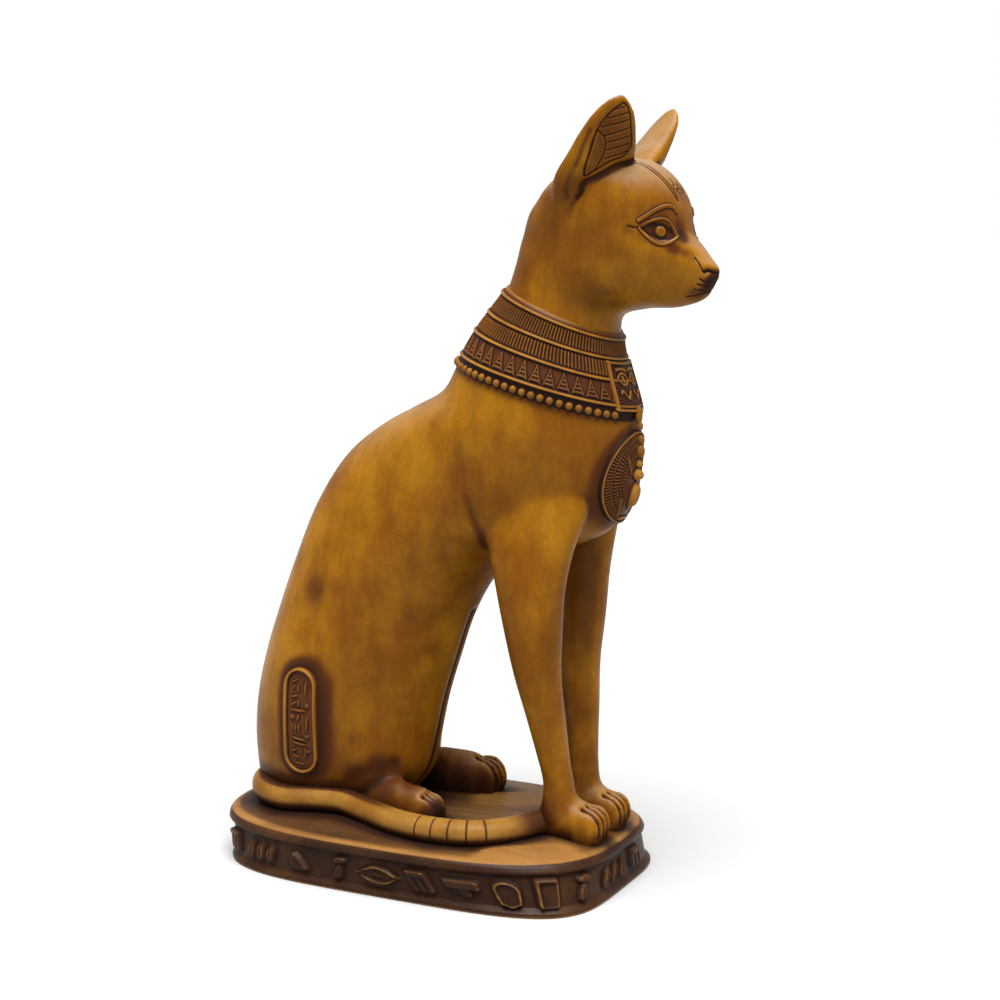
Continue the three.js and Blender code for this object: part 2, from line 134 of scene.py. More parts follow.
plinth_patches = [([(42, 34), (66, 46)], 30), ([(106, -90), (142, -64)], 30)]  # rubbed ochre: line, reach
plinth_columns, profile_rows, top_rows, closing_rows = 800, 64, 30, 24  # of its mesh
cloud_scale, stain_scale, streak_scale, speck_scale, grit_scale = 15, 12, 55, 420, 700  # cells in a metre
# the pale colour of the painted sheen on what faces up
sheen_ochre = (134, 109, 79)
curve_gain = 6  # from the curve of a surface to the share of brown that stays in it
outline_turns = np.linspace(-np.pi / 2, 1.5 * np.pi, 8001)  # from the middle of the right side, once round


class Tone:
    """A number or colour in a material's nodes. Sums, differences and products of tones add Math nodes."""

    def __init__(self, tree, socket=None):
        self.tree, self.socket = tree, socket

    def node(self, kind, settings=None, sockets=None, output=0):
        """Adds a node, gives it its settings, then its sockets' values or links, and returns one output."""
        made = self.tree.nodes.new("ShaderNode" + kind)
        for name, value in (settings or {}).items():
            setattr(made, name, value)
        for name, value in (sockets or {}).items():
            if isinstance(value, Tone):
                self.tree.links.new(value.socket, made.inputs[name])
            else:
                made.inputs[name].default_value = value
        return Tone(self.tree, made.outputs[output])

    def math(self, operation, first, second):
        """A Math node of two tones or numbers."""
        return self.node("Math", {"operation": operation}, {0: first, 1: second})

    def __add__(self, other):
        return self.math("ADD", self, other)

    def __radd__(self, other):
        return self.math("ADD", other, self)

    def __sub__(self, other):
        return self.math("SUBTRACT", self, other)

    def __rsub__(self, other):
        return self.math("SUBTRACT", other, self)

    def __mul__(self, other):
        return self.math("MULTIPLY", self, other)

    def __rmul__(self, other):
        return self.math("MULTIPLY", other, self)

    def between(self, low, high):
        """0 where it is low or less, 1 where it is high or more, and smooth between them."""
        return self.node("MapRange", {"interpolation_type": "SMOOTHSTEP"},
                         {"Value": self, "From Min": low, "From Max": high})

    def mix(self, under, over):
        """The colour under where this is 0, and over where it is 1."""
        return self.node("Mix", {"data_type": "RGBA", "clamp_factor": True},
                         {0: self, 6: under, 7: over}, 2)


def pigment(red, green, blue):
    """A colour as seen, 0 to 255, as the shader's linear numbers: its share plus 0.055, over 1.055, to the
    power 2.4."""
    return tuple(((v / 255 + 0.055) / 1.055) ** 2.4 for v in (red, green, blue)) + (1,)


def noise(tree, place, scale, detail=4, rough=0.55, stretch=(1, 1, 1)):
    """Soft cloudy noise with a cell of about 1 / scale metres."""
    at = tree.node("Mapping", None, {"Vector": place, "Scale": stretch})
    return tree.node("TexNoise", None, {"Vector": at, "Scale": scale, "Detail": detail, "Roughness": rough})


def antiqued(name, ochre, light, brown, dark, stain, cloudy=1.0, brush=(1, 1, 0.25)):
    """Cast resin, painted ochre with cloudy lighter places, then wiped with brown that stays in the hollows
    and is rubbed off the edges. The same brown and dark also paint the shade that a piece is given, the light
    ochre also paints a highlight where a piece is given one, and a pale painted sheen lies where it faces up.
    stain is how much of the open surface the brown covers, cloudy how light the clouds are, and brush
    stretches the wiped streaks."""
    material = bpy.data.materials.new(name)
    material.use_nodes = True
    tree = Tone(material.node_tree)
    shader = material.node_tree.nodes["Principled BSDF"]
    place = tree.node("TexCoord", output=3)
    brown_and_shade, wear_and_highlight, painted_sheen = (tree.node("Attribute", {"attribute_name": name}, output=2)
                           for name in ("brown_and_shade", "wear_and_highlight", "painted_sheen"))
    clouds = noise(tree, place, cloud_scale, 5, 0.6).between(0.36, 0.66)
    stains = noise(tree, place, stain_scale, 5, 0.65).between(0.78 - 0.5 * stain, 0.98 - 0.45 * stain)
    streaks = noise(tree, place, streak_scale, 5, 0.7, brush).between(0.32, 0.72)
    specks = noise(tree, place, speck_scale, 2, 0.5).between(0.3, 0.75)
    paint = (clouds * cloudy).mix(ochre, light)
    paint = (streaks * 0.42).mix(paint, brown)
    paint = (stains * (0.55 + 0.35 * streaks)).mix(paint, brown)
    # a pale painted sheen where the surface faces up
    paint = (painted_sheen * (0.8 + 0.2 * clouds)).mix(paint, pigment(*sheen_ochre))
    # brown, then dark, from the mark that holds the brown wash in the hollows and the painted shade each
    # piece is given
    paint = (brown_and_shade * (1.5 + 0.3 * streaks)).between(0.0, 0.85).mix(paint, brown)
    paint = (brown_and_shade + 0.08 * specks).between(0.38, 0.95).mix(paint, dark)
    # lighter ochre where the surface is worn, and where a piece is given a painted highlight
    paint = (wear_and_highlight * (0.65 + 0.1 * specks + 0.45 * streaks)).between(0.1, 0.95).mix(paint, light)
    paint = (specks * 0.16).mix(paint, brown)
    tree.tree.links.new(paint.socket, shader.inputs["Base Color"])
    rough = 0.33 + 0.12 * specks - 0.05 * clouds + 0.15 * brown_and_shade
    tree.tree.links.new(rough.socket, shader.inputs["Roughness"])
    shader.inputs["Specular IOR Level"].default_value = 0.07
    height = noise(tree, place, streak_scale, 4) * 0.5 + noise(tree, place, grit_scale, 3) * 0.06
    bump = tree.node("Bump", None, {"Strength": 0.35, "Distance": 0.0012, "Height": height})
    tree.tree.links.new(bump.socket, shader.inputs["Normal"])
    return material


def smooth(share):
    """0 to 1 with a soft start and end: three times the square less twice the cube."""
    t = np.clip(share, 0, 1)
    return t * t * (3 - 2 * t)


def bell(distance, reach):
    """1 at a distance of 0, falling to 0.37 at the reach: e to the power of less the square of their
    ratio."""
    return np.exp(-(distance / reach) ** 2)


def grid_faces(rows, columns):
    """Quads of a grid of points: row i holds points i * columns onwards and closes on itself, and one face
    each closes the first and the last row."""
    i, j = np.meshgrid(np.arange(rows - 1), np.arange(columns), indexing="ij")
    k = (j + 1) % columns
    quads = np.stack([i * columns + j, i * columns + k, (i + 1) * columns + k, (i + 1) * columns + j], -1)
    faces = quads.reshape(-1, 4).tolist()
    faces.append(list(range(columns))[::-1])
    faces.append(list(range((rows - 1) * columns, rows * columns)))
    return faces


def read(part, name, width, kind=np.float32):
    """One property of all of a mesh's points or edges, as an array."""
    values = np.empty(len(part) * width, kind)
    part.foreach_get(name, values)
    return values.reshape(-1, width)


def normals_of(mesh):
    """The outward direction at each of a mesh's points."""
    return read(mesh.vertex_normals, "vector", 3).astype(float)


def edges_of(mesh):
    """The two points of each of a mesh's edges."""
    return read(mesh.edges, "vertices", 2, np.int32)


def averaged(values, edges, rounds, hold=None):
    """Each point's value moved half way to its neighbours' mean, for some rounds; where hold is given,
    only by that share of it."""
    count = len(values)
    both = np.concatenate([edges, edges[:, ::-1]])
    degree = np.bincount(both[:, 0], minlength=count)[:, None]
    for _ in range(rounds):
        around = np.stack([np.bincount(both[:, 0], column[both[:, 1]], count) for column in values.T], -1)
        mean = (around / degree + values) / 2
        values = mean if hold is None else values + hold[:, None] * (mean - values)
    return values


def finished(name, mesh, material, brown_and_shade=0.0, gain=1.0, rub=1.0, spread=2, rubbed=0.0, painted_sheen=0.0):
    """Makes a piece of a mesh and marks on each point how much brown and painted shade it holds and how
    worn it is: how far its neighbours' mean stands out of the surface there, as a share of their spacing,
    spread over some rounds and with what is given added; what is given also holds painted shade, and for
    the tail a painted highlight. Where brown or shade is given, little is rubbed off. Its pale painted sheen
    grows with how far it faces up, by the share given."""
    mesh.shade_smooth()
    mesh.update()
    points = read(mesh.vertices, "co", 3).astype(float)
    normals, edges = normals_of(mesh), edges_of(mesh)
    spacing = np.linalg.norm(points[edges[:, 0]] - points[edges[:, 1]], axis=1).mean()
    lift = ((averaged(points, edges, 2) - points) * normals).sum(1, keepdims=True) / spacing
    lift = averaged(lift, edges, spread)[:, 0]
    # brown in the hollows from the surface's curve, plus the given brown and painted shade
    brown_and_shade_values = np.clip(np.maximum(gain * curve_gain * lift, -0.2) + brown_and_shade, 0, 1)
    wear_and_highlight_share = np.clip(rubbed - rub * curve_gain * lift, 0, 1) * (1 - 0.9 * np.clip(brown_and_shade, 0, 1))
    # the painted sheen: paler the more the surface faces up
    sheen_share = np.clip(painted_sheen * smooth((normals[:, 2] - 0.3) / 0.6), 0, 1)
    for attribute, values in (("brown_and_shade", brown_and_shade_values), ("wear_and_highlight", wear_and_highlight_share), ("painted_sheen", sheen_share)):
        mesh.attributes.new(attribute, "FLOAT", "POINT").data.foreach_set("value", values.astype(np.float32))
    mesh.materials.clear()
    mesh.materials.append(material)
    piece = bpy.data.objects.new(name, mesh)
    scene.collection.objects.link(piece)
    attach(piece, "root")
    return piece


def skin_mesh(name, points, faces):
    """A mesh of points given in millimetres."""
    mesh = bpy.data.meshes.new(name)
    mesh.from_pydata((points.reshape(-1, 3) / 1000).tolist(), [], faces)
    return mesh


def power(value, exponent):
    """A superellipse's rounding of a sine or cosine: its size to the power 2 / exponent, with its sign."""
    return np.sign(value) * np.abs(value) ** (2 / exponent)


def plinth_outline(angle, up, inset):
    """Superellipse whose power and width change from the foot to the rim, pulled in by inset."""
    ahead = np.cos(angle) >= 0
    corner = np.where(ahead, front_corner[0] + (front_corner[1] - front_corner[0]) * up,
                      rear_corner[0] + (rear_corner[1] - rear_corner[0]) * up)
    rear = foot_rear + (plinth_length / 2 - foot_rear) * up
    half_length = np.where(ahead, plinth_length / 2, rear) - inset
    half_width = (foot_width + (plinth_width - foot_width) * up) / 2 - inset
    x = half_length * power(np.cos(angle), corner)
    y = half_width * power(np.sin(angle), corner)
    return np.stack([x, y], -1)


def even_angles(up, inset):
    """Angles that divide the outline into equal lengths, from the middle of the cat's right side, with the
    lengths that they lie at, and the length up to each of the outline's turns."""
    line = plinth_outline(outline_turns, up, inset)
    gone = np.concatenate([[0], np.cumsum(np.linalg.norm(np.diff(line, axis=0), axis=1))])
    along = np.linspace(0, gone[-1], plinth_columns, endpoint=False)
    return np.interp(along, gone, outline_turns), along, gone


def mound(a, b, corner, edge):
    """Flat-topped mound, 0 to 1: its outline is the superellipse of a and b, and its side falls over edge."""
    return smooth((1 - (np.abs(a) ** corner + np.abs(b) ** corner) ** (1 / corner)) / edge)


def token_form(kind, a, b):
    """Height, 0 to 1, of a raised form at a across and b up, which run from -1 to 1 over its box. It is made
    of mounds, arches and bells."""
    if kind == "bar":
        return mound(a, b, 2.4, 0.6) * (1 - 0.35 * bell(a, 0.3))
    if kind == "wedge":
        fold = b - 0.75 + 1.3 * np.clip(a + 0.7, 0, 2) ** 1.3 * 0.62
        leaf = smooth((0.25 - fold) / 0.3) * mound(a, b, 3, 0.35)
        return leaf * (0.55 + 0.45 * bell(fold + 0.12, 0.16))
    if kind == "vase":
        lip = mound(a, (b - 0.68) / 0.32, 2.4, 0.5)
        return np.maximum(lip, 0.8 * mound(a / (0.5 - 0.25 * b), (b + 0.2) / 0.8, 3, 0.4))
    if kind == "lozenge":
        lens = np.abs(b) / (1.02 - 0.98 * np.clip(a * a, 0, 1)) + 4 * np.clip(np.abs(a) - 1, 0, 1)
        rim = bell(lens - 0.74, 0.14)
        return smooth((1 - lens) / 0.2) * (0.4 + 0.6 * rim) + 0.3 * mound(a / 0.34, b / 0.34, 2, 0.6)
    if kind == "square":
        bars = bell(np.abs(a) - 0.3, 0.1) * (b < 0.35)
        lid = mound(a, (b - 0.7) / 0.3, 5, 0.4)
        return np.maximum(lid, mound(a, b, 7, 0.25) * (0.75 - 0.35 * bars))
    if kind == "beam":
        return np.maximum(mound(a, (b - 0.4) / 0.5, 7, 0.3), 0.6 * mound(a / 0.4, (b + 0.2) / 0.8, 3, 0.4))
    if kind == "dome":
        arch = np.hypot(a / (0.85 + 0.15 * b), np.maximum(b, 0)) + 3 * np.clip(-b - 0.85, 0, 1)
        return smooth((1 - arch) / 0.2) * (0.55 + 0.45 * bell(arch - 0.78, 0.13))
    sunk = mound((a - 0.12) / 0.78, (b + 0.1) / 0.82, 6, 0.2)
    return mound(a, b, 8, 0.2) * (1 - 0.5 * sunk)


def beside(points, line, reach):
    """Closeness in plan view to a line of places: 1 at it, falling softly to 0 at the reach."""
    line = np.array(line, float)[:, :2]
    share = np.linspace(0, 1, 8)[:, None, None]
    line = (line[None, :-1] + share * (line[None, 1:] - line[None, :-1])).reshape(-1, 2)
    distance = np.full(points.shape[:-1], float(reach))
    for place in line:
        distance = np.minimum(distance, np.hypot(points[..., 0] - place[0], points[..., 1] - place[1]))
    return smooth(1 - distance / reach)


def plinth():
    """The block's profile, as height and inset, carried round its outline; on the band the raised forms are
    added to the outline as a height over length along and height up. The top and the underside close as
    the outline shrunk to the middle. With the mesh come its painted shadow, by the tail, the paws and the
    rump, and its rubbed places."""
    shoulder = plinth_height - ledge_height
    keys = np.array([  # height and inset at the profile's corners
        [0, 0.5], [1.5, 0], [foot_height - 1, 0], [foot_height + 3, band_depth], [shoulder - 2, band_depth],
        [shoulder, 0.8], [shoulder + 1.5, 0], [plinth_height - ledge_round, 0],
        [plinth_height - 4, 0.9], [plinth_height - 2, 2.4], [plinth_height - 0.7, 4.4],
    ])
    gone = np.concatenate([[0], np.cumsum(np.linalg.norm(np.diff(keys, axis=0), axis=1))])
    steps = np.linspace(0, gone[-1], profile_rows)
    z, inset = np.interp(steps, gone, keys[:, 0]), np.interp(steps, gone, keys[:, 1])
    inward = np.linspace(0.02, 1, top_rows)
    z = np.concatenate([z, plinth_height + dome_rise * (1 - (1 - inward) ** 1.5)])
    inset = np.concatenate([inset, ledge_round + dome_reach * inward])
    middle = (shoulder + foot_height) / 2
    angle, along, gone = even_angles(middle / plinth_height, band_depth)
    out = np.zeros((len(z), plinth_columns))
    half_round = np.interp(np.pi / 2, outline_turns, gone)
    for start in (0, half_round):
        for place, kind in token_places:
            width, height = token_kinds[kind]
            across = (along - start - place + gone[-1] / 2) % gone[-1] - gone[-1] / 2
            a = across / (token_width / 2 * width)
            b = (z - middle) / (token_height / 2 * height)
            out = np.maximum(out, token_proud * token_form(kind, a[None, :], b[:, None]))
    out *= ((z > foot_height) & (z < shoulder))[:, None]
    side = plinth_outline(angle[None, :], np.minimum(z / plinth_height, 1)[:, None], inset[:, None] - out)
    side = np.concatenate([side, np.broadcast_to(z[:, None, None], side.shape[:2] + (1,))], -1)
    shrink = np.linspace(0.97, 0.03, closing_rows)[:, None, None] * np.array([1, 1, 0]) + np.array([0, 0, 1])
    under = shrink[::-8]
    points = np.concatenate([side[0] * under, side, side[-1] * shrink])
    depth = np.where(z > plinth_height - ledge_round + 1, inset, -1)  # how far in from the top's edge
    far_in = ledge_round + dome_reach + 8.0
    depth = np.concatenate([np.full(len(under), -1.0), depth, np.full(closing_rows, far_in)])[:, None]
    rim = smooth((depth - 1.6) / 1.4) * smooth((10 - depth) / 4)
    # painted shadow on the top by the tail, the paws and the rump
    shade = 0.95 * beside(points, tail_path, tail_radius + tail_shadow_reach)
    for (heel, toe), (heel_out, toe_out), *_ in paws:
        sole = [(heel, heel_out), (toe - 10, toe_out)]
        shade = np.maximum(shade, 0.85 * beside(points, sole, paw_shadow_reach))
    shade = np.maximum(shade, 0.8 * beside(points, rump_line, rump_shadow_reach)) * (depth > 0)
    patches = sum(beside(points, line, reach) for line, reach in plinth_patches)
    open_top = 0.34 + 0.26 * smooth((points[..., 0] + 40) / 80) + 0.7 * patches
    rubbed = np.maximum(smooth((depth - 1.6) / 1.4) * open_top, rim)
    # less rubbed ochre where the painted shadow lies
    rubbed *= 1 - 0.8 * smooth(shade * 1.5 - 0.3)
    rubbed = np.maximum(rubbed, 1.2 * smooth(patches * 2) * (depth > 10))
    shade *= 1 - smooth(patches * 2)
    return skin_mesh("plinth", points, grid_faces(len(points), plinth_columns)), shade.ravel(), rubbed.ravel()


plinth_stain = antiqued("plinth_resin", pigment(45, 26, 16), pigment(124, 86, 42), pigment(36, 19, 12),
                        pigment(20, 13, 10), 0.7, cloudy=0.15, brush=(0.22, 1, 1))
plinth_mesh, plinth_shade, plinth_rub = plinth()
finished("plinth", plinth_mesh, plinth_stain, brown_and_shade=0.12 + 0.8 * plinth_shade, gain=1.0, rub=0.6,
         rubbed=plinth_rub)

# Cat's body
# The cat sits upright: rump and haunches on the plinth, feet forward on either side, forelegs straight.
# It is one smooth hollow cast from the neck down, painted ochre, with brown left in the creases. It has
# painted shade low down, by the tail, round the right hind foot, between the forelegs and round the pendant,
# and a pale painted sheen on what faces up.
bead_station, throat_station = 13, 17
trunk_stations = [  # back end (x, z), front end (x, z), half width, powers of the front and back halves
    [-150, 0, -30, 0, 46, 1.8, 2.2],
    [-156, 16, -18, 14, 54, 2.2, 2.2],
    [-158, 36, -2, 34, 61, 2.0, 2.2],
    [-158, 62, 7, 64, 66, 1.6, 2.2],
    [-154, 92, 15, 96, 69, 1.5, 2.2],
    [-146, 125, 26, 130, 69, 1.5, 2.2],
    [-134, 162, 39, 166, 66, 1.55, 2.2],
    [-118, 206, 60, 200, 62, 1.7, 2.2],
    [-98, 252, 90, 220, 59, 1.9, 2.2],
    [-68, 294, 126, 226, 58, 2.0, 2.2],
    [-35, 318, 156, 241, 59, 2.0, 2.2],
    [-7, 332, 171, 266, 60, 2.0, 2.2],
    [20, 347, 176, 300, 60, 2.0, 2.1],
    [32, 367, 175, 326, 57, 2.0, 2.1],
    [38, 375, 173, 336, 56, 2.0, 2.1],
    [49, 392, 167, 354, 52, 2.1, 2.1],
    [61, 407, 162, 371, 48, 2.1, 2.1],
    [73, 422, 160, 386, 44, 2.1, 2.1],
    [81, 443, 164, 403, 42, 2.0, 2.1],
    [84, 456, 184, 408, 43, 1.8, 2.1],
    [87, 467, 214, 410, 45, 1.5, 2.1],
    [90, 475, 232, 417, 46, 1.4, 2.3],
    [94, 482, 242, 433, 47, 1.4, 2.5],
    [101, 490, 233, 447, 48, 1.5, 2.6],
    [108, 498, 219, 464, 48, 2.0, 2.7],
    [118, 507, 215, 482, 46, 2.3, 2.5],
    [135, 513, 207, 499, 40, 2.2, 2.1],
    [151, 518, 196, 511, 29, 2.1, 2.1],
    [168, 520, 186, 517, 13, 2.0, 2.0],
]


def track(stations, places, shares):
    """Rows at shares of a smooth track through stations. The places of a row are points in space that set
    the spacing; between two stations each number follows the cubic with the slope at each of them,
    which is the mean of the rises before and after it, weighted by the opposite spacing."""
    rows = np.array(stations, float)
    steps = np.linalg.norm(np.diff(rows[:, places], axis=0), axis=1)
    knots = np.concatenate([[0], np.cumsum(steps)])
    rise = np.diff(rows, axis=0) / steps[:, None]
    before, after = steps[:-1, None], steps[1:, None]
    slopes = np.vstack([rise[:1], (after * rise[:-1] + before * rise[1:]) / (before + after), rise[-1:]])
    where = np.clip(shares, 0, 1) * knots[-1]
    i = np.clip(np.searchsorted(knots, where, side="right") - 1, 0, len(steps) - 1)
    f = ((where - knots[i]) / steps[i])[..., None]
    low, rise = rows[i], rows[i + 1] - rows[i]
    leave, arrive = slopes[i] * steps[i][..., None], slopes[i + 1] * steps[i][..., None]
    return low + f * (leave + f * (3 * rise - 2 * leave - arrive + f * (leave + arrive - 2 * rise)))


def station_shares(stations, places):
    """Where a track's stations lie along it, as shares."""
    rows = np.array(stations, float)
    gone = np.cumsum(np.linalg.norm(np.diff(rows[:, places], axis=0), axis=1))
    return np.concatenate([[0], gone / gone[-1]])


trunk_ends = [0, 1, 2, 3]
trunk_shares = station_shares(trunk_stations, trunk_ends)


def trunk_skin(share, angle, grow=0.0):
    """Points of the trunk: superellipses round chords of the middle plane, angle 0 at the front, standing
    out by grow."""
    share, angle, grow = np.broadcast_arrays(share, angle, grow)
    bx, bz, fx, fz, width, front, rear = np.moveaxis(track(trunk_stations, trunk_ends, share), -1, 0)
    chord = np.hypot(fx - bx, fz - bz)
    exponent = np.where(np.cos(angle) >= 0, front, rear)
    forward = power(np.cos(angle), exponent) * (chord / 2 + grow)
    return np.stack([
        (bx + fx) / 2 + (fx - bx) / chord * forward,
        power(np.sin(angle), exponent) * (width + grow),
        plinth_height + (bz + fz) / 2 + (fz - bz) / chord * forward,
    ], -1)


def turns(count):
    """Angles of one turn in equal steps."""
    return np.linspace(0, 2 * np.pi, count, endpoint=False)


def trunk_piece(low, high, rows, columns):
    """The trunk's skin between two shares of its height, as a grid."""
    return trunk_skin(np.linspace(low, high, rows)[:, None], turns(columns)[None, :])


def limb(stations, rows, columns, upright=False):
    """Ellipses along a track of centres (x, y, z), with their half sizes: level ones have them along X and
    Y, upright ones along Y and Z."""
    x, y, z, a, b = (v[:, None] for v in track(stations, [0, 1, 2], np.linspace(0, 1, rows)).T)
    t = turns(columns)[None, :]
    u, v = a * np.cos(t), b * np.sin(t)
    z = z + plinth_height
    return np.stack([x + 0 * t, y + u, z + v] if upright else [x + u, y + v, z + 0 * t], -1)


toe_places = np.array([-0.66, -0.22, 0.22, 0.66])  # across a paw, as shares of its half width


def foreleg(side):
    """Level ellipses from the foot up to the shoulder."""
    return limb([
        [125, 24 * side, 18, 15, 15],
        [125, 24 * side, 42, 12.5, 13.5],
        [122, 28 * side, 65, 12.8, 13.5],
        [118, 33 * side, 95, 15, 15.5],
        [113, 38 * side, 130, 18.5, 18],
        [111, 42 * side, 165, 23, 20.5],
        [109, 43 * side, 198, 28, 21],
        [108, 40 * side, 230, 36, 20.5],
        [108, 32 * side, 262, 44, 21],
        [104, 22 * side, 298, 44, 22],
    ], 90, 48)


def ball(rows, columns, gap):
    """A sphere of radius 1 as a grid from its lower pole to its upper one, cut off by an angle of gap at
    both."""
    fall, turn = np.linspace(gap, np.pi - gap, rows)[:, None], turns(columns)[None, :]
    return np.stack([np.sin(fall) * np.cos(turn), np.sin(fall) * np.sin(turn), -np.cos(fall) + 0 * turn], -1)


def paw(heel, toe, heel_out, toe_out, height, half_width):
    """A tapering instep of upright ellipses and four round toes, as closed shells."""
    length = toe - heel
    share, middle, wide, tall = np.array([
        [0, 0.4, 0.5, 0.4], [0.12, 0.44, 0.8, 0.5], [0.4, 0.43, 0.95, 0.54], [0.66, 0.38, 0.98, 0.52],
        [0.83, 0.31, 0.86, 0.42],
    ]).T
    out = heel_out + share * (toe_out - heel_out)
    stations = np.stack([heel + length * share, out, height * middle, half_width * wide, height * tall], -1)
    shells = [limb(stations, 30, 40, upright=True)]
    round_toe = np.roll(ball(20, 24, 0.02), 1, -1)  # its poles lie along X
    for place in toe_places:
        reach = length * (0.27 - 0.06 * abs(place))
        middle = np.array([toe - reach - abs(place) * length * 0.05, toe_out + place * half_width,
                           plinth_height + height * 0.35])
        shells.append(middle + round_toe * [reach, half_width * 0.34, height * 0.48])
    return shells


def toe_lines(heel, toe, toe_out, height, half_width):
    """Where the clefts between the toes run, from the instep down to the ground."""
    length = toe - heel
    places = ((0.28, 0.96, 0.84), (0.16, 1, 0.7), (0.06, 1, 0.46), (0.02, 1, 0.2), (0.04, 1, 0.03))
    return [[(toe - length * (back + 0.05 * abs(place)), toe_out + half_width * place * wide, height * up)
             for back, wide, up in places] for place in (toe_places[1:] + toe_places[:-1]) / 2]


def shells_mesh(name, shells):
    """One mesh of several closed shells, each a grid of points."""
    faces, count = [], 0
    for shell in shells:
        rows, columns = shell.shape[:2]
        faces += [[index + count for index in face] for face in grid_faces(rows, columns)]
        count += rows * columns
    return skin_mesh(name, np.concatenate([shell.reshape(-1, 3) for shell in shells]), faces)


def fused(name, shells, cell):
    """One closed skin round all the shells, on a grid of voxels of a size in millimetres."""
    rough = bpy.data.objects.new(name, shells_mesh(name, shells))
    scene.collection.objects.link(rough)
    remesh = rough.modifiers.new("remesh", "REMESH")
    remesh.mode, remesh.voxel_size = "VOXEL", cell / 1000
    mesh = bpy.data.meshes.new_from_object(rough.evaluated_get(bpy.context.evaluated_depsgraph_get()))
    bpy.data.objects.remove(rough)
    mesh.name = name
    return mesh


def points_of(mesh):
    """A mesh's points in millimetres."""
    return read(mesh.vertices, "co", 3).astype(float) * 1000


def move(mesh, points):
    """Puts a mesh's points at places in millimetres."""
    mesh.vertices.foreach_set("co", (points / 1000).ravel())
    mesh.update()


def near(points, places, radius):
    """1 at the nearest of some places, falling softly to 0 at a radius from it."""
    distance = np.full(len(points), float(radius))
    for place in places:
        distance = np.minimum(distance, np.linalg.norm(points - place, axis=1))
    return smooth(1 - distance / radius)


def gap_to(points, place, side=1):
    """Distance of each point from a place above the plinth, mirrored to one side."""
    return np.linalg.norm(points - np.array(place) * [1, side, 1] - [0, 0, plinth_height], axis=1)


def collar_share(part):
    """Share of the trunk at a part of the collar, from its lowest band at 0 to the throat's at 1."""
    low, high = trunk_shares[bead_station + 1], trunk_shares[throat_station]
    return low + part * (high - low)


def refined(mesh, chosen):
    """Every face halved both ways where all of its points are chosen."""
    shape = bmesh.new()
    shape.from_mesh(mesh)
    shape.verts.ensure_lookup_table()
    edges = [edge for edge in shape.edges if chosen[edge.verts[0].index] and chosen[edge.verts[1].index]]
    bmesh.ops.subdivide_edges(shape, edges=edges, cuts=1, use_grid_fill=True, smooth=0.6)
    shape.to_mesh(mesh)
    shape.free()
    mesh.update()


def away(points, normals, line, reach, side=0):
    """Distance of each point on one side of the skin, or on both where side is 0, from a smooth line
    through some places above the plinth, up to a reach. The line is first laid on the skin, in the plane
    of the nearest point."""
    line = np.array(line, float)
    count = int(np.linalg.norm(np.diff(line, axis=0), axis=1).sum() / 0.4) + 2  # 0.4 mm apart
    line = track(line, [0, 1, 2], np.linspace(0, 1, count)) * [1, side or 1, 1] + [0, 0, plinth_height]
    margin = reach + 2
    close = np.all((points > line.min(0) - margin) & (points < line.max(0) + margin), axis=1)
    close &= normals[:, 1] * side > -0.3
    distance = np.full(len(points), float(reach))
    skin, out = points[close], normals[close]
    if not len(skin):
        return distance
    nearest = np.linalg.norm(skin[:, None] - line[None], axis=2).argmin(0)
    line -= ((line - skin[nearest]) * out[nearest]).sum(1, keepdims=True) * out[nearest]
    distance[close] = np.minimum(np.linalg.norm(skin[:, None] - line[None], axis=2).min(1), reach)
    return distance


hock_stations = np.array([  # right hind foot into the haunch: x, y, height, half width, half height
    [-50, -34, 14, 8, 12], [-32, -36, 15, 12, 16], [-14, -38, 15.5, 14, 17.5], [4, -39, 14, 13.5, 16],
])
hock_joint, hock_soft = (-10, -39, 70), 20  # where it is smoothed, from the underside, and how far round
body_joints = [  # where the forelegs join the trunk and the feet, from the plinth's underside
    (80, 50, 262), (110, 50, 300), (135, 42, 262), (70, 30, 250), (112, 26, 82), (135, 26, 82),
]
body_cell = 2.35  # of the voxels that join the shells
cleft_depth, cleft_half, cleft_dark, cleft_stain = 4.4, 2.8, 0.8, 2.7  # the grooves between the toes
body_lines = [  # half width, depth, darkness, points; only one whose Y is below 0 is on one side alone
    (10.0, 1.0, 0.18, [(55, 58, 300), (60, 57, 280), (65, 54, 252)]),
    (6.0, 1.2, 0.30, [(62, 56, 266), (65, 54, 252), (68, 49, 238), (69, 42, 226)]),
    (3.5, 3.0, 0.55, [(38, 0, 167), (30, 0, 144), (25, 0, 126), (19, 0, 109), (14, 0, 92), (8, 0, 71),
                      (2, 0, 49), (-4, 0, 30), (-8, 0, 14)]),
    (9.0, 1.2, 0.60, [(-62, -58, 16), (-50, -56, 26), (-38, -53, 36), (-26, -46, 42), (-12, -40, 44)]),
]
